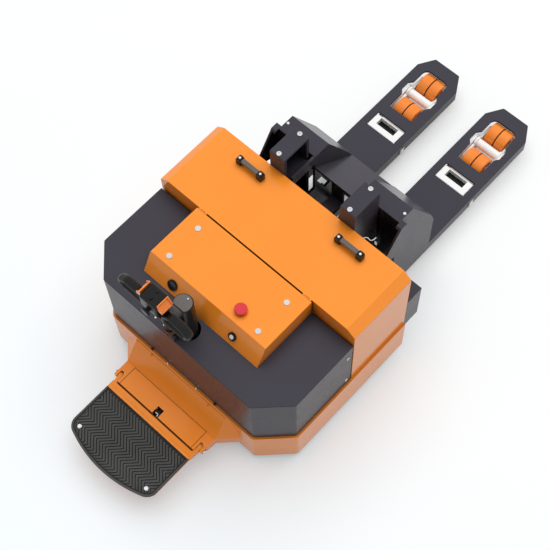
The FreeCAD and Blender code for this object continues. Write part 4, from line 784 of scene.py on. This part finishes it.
# %% Bend the hook
wire_radius = 0.0017
hook_bends = [(283, -226, 600), (292, -229, 600), (300, -237, 598), (296, -250, 597), (306, -256, 597),
              (319, -256, 596)]
wire = bpy.data.curves.new("lid_hook", "CURVE")
wire.dimensions = "3D"
wire.bevel_depth = wire_radius
wire.bevel_resolution = 3
wire.use_fill_caps = True
run = wire.splines.new("NURBS")
run.points.add(len(hook_bends) - 1)
for point, spot in zip(run.points, hook_bends):
    point.co = place(*spot).to_4d()
run.order_u = 3
run.use_endpoint_u = True
shaped = bpy.data.objects.new("hook_shape", wire)
bpy.context.scene.collection.objects.link(shaped)
hook_mesh = finished_mesh(shaped)
bpy.data.objects.remove(shaped)
hook_bm = bmesh.new()
hook_bm.from_mesh(hook_mesh)
add_piece(hook_bm, "lid_hook", "chrome", "lid")

# %% [markdown]
# ## Small plates
# Some pieces are flat: black floors that paint shade into the wells of the lift levers and the
# latch's bay, a bent keeper on the latch, the strip that holds the mat's edge, the back plates of
# the carriage's pockets, clips below the cover's edge, and a keeper plate for each lever pin.
# Each is one or more blocks, given by two opposite corners on the drawing. A table of corners is
# shorter than a function for each plate, and it can be checked against the drawing line by line.

# %% Cut the small plates


def add_block(bm, corner, opposite):
    low = place(*corner)
    high = place(*opposite)
    spread = Matrix.Diagonal((high - low).to_4d())
    bmesh.ops.create_cube(bm, size=1, matrix=Matrix.Translation((low + high) / 2) @ spread)


fork_mid = 172.5
well_half = 42.5
clip_half = 4
pocket_width = 27
plate_edge = 0.0004
plate_sets = [
    # Black plates at the bottom of the lever wells: painted shade in the deep wells.
    ("lever_well_shade", "levers", "black_plastic",
     [((905.5, y - well_half, 78), (937.5, y + well_half, 80)) for y in (-fork_mid, fork_mid)]),
    ("pin_keepers", "carriage", "white_metal",
     [((885, y - 2, 72), (907, y + 0.3, 79)) for y in (72.5, -272.5)]),
    # A black plate on the latch bay's floor: painted shade in the recess.
    ("latch_bay_shade", "chassis", "black_plastic",
     [((-532.5, -13.5, 100.8), (-501.5, 13.5, 102))]),
    ("latch_keeper", "latch", "chrome",
     [((-525, -8, 112), (-521.5, 6, 124.5)), ((-532, -9, 116), (-521.5, -6, 124.5))]),
    ("mat_strip", "step", "orange_paint",
     [((-569.7, -199.5, 125.6), (-558, 199.5, 127))]),
    ("pocket_backs", "carriage", "dark_paint",
     [((416.6, y, 330), (418.1, y + pocket_width, 578)) for y in (-205, 178)]),
    ("cover_clips", "chassis", "black_plastic",
     [((-387.5, y - clip_half, 223.8), (-381.5, y + clip_half, 229)) for y in (147, -156.5)]),
]
for name, body, finish, corners in plate_sets:
    plates_bm = bmesh.new()
    for corner, opposite in corners:
        add_block(plates_bm, corner, opposite)
    soften(plates_bm, plates_bm.edges[:], plate_edge)
    add_piece(plates_bm, name, finish, body)

# %% [markdown]
# ## Gaps between the treads
# Each load roller carries two treads side by side, with a gap between them. A thin dark ring, turned
# on the lathe to just more than the treads' radius, shows that gap as a dark line and rolls along.

# %% Turn the gap rings
gap_half = 0.0018
ring_rise = 0.0001
ring_bore = 0.040
for corner_name in ("left_front", "left_rear", "right_front", "right_rear"):
    roller_low, roller_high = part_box("roller_" + corner_name)
    rim = (roller_high.z - roller_low.z) / 2 + ring_rise
    outline = [(ring_bore, -gap_half), (rim, -gap_half), (rim, gap_half), (ring_bore, gap_half),
               (ring_bore, -gap_half)]
    ring_bm = bmesh.new()
    turn_on_lathe(ring_bm, outline, (roller_low + roller_high) / 2, left, steps=64)
    add_piece(ring_bm, "tread_gap_" + corner_name, "black_plastic", "roller_" + corner_name + "_spin")
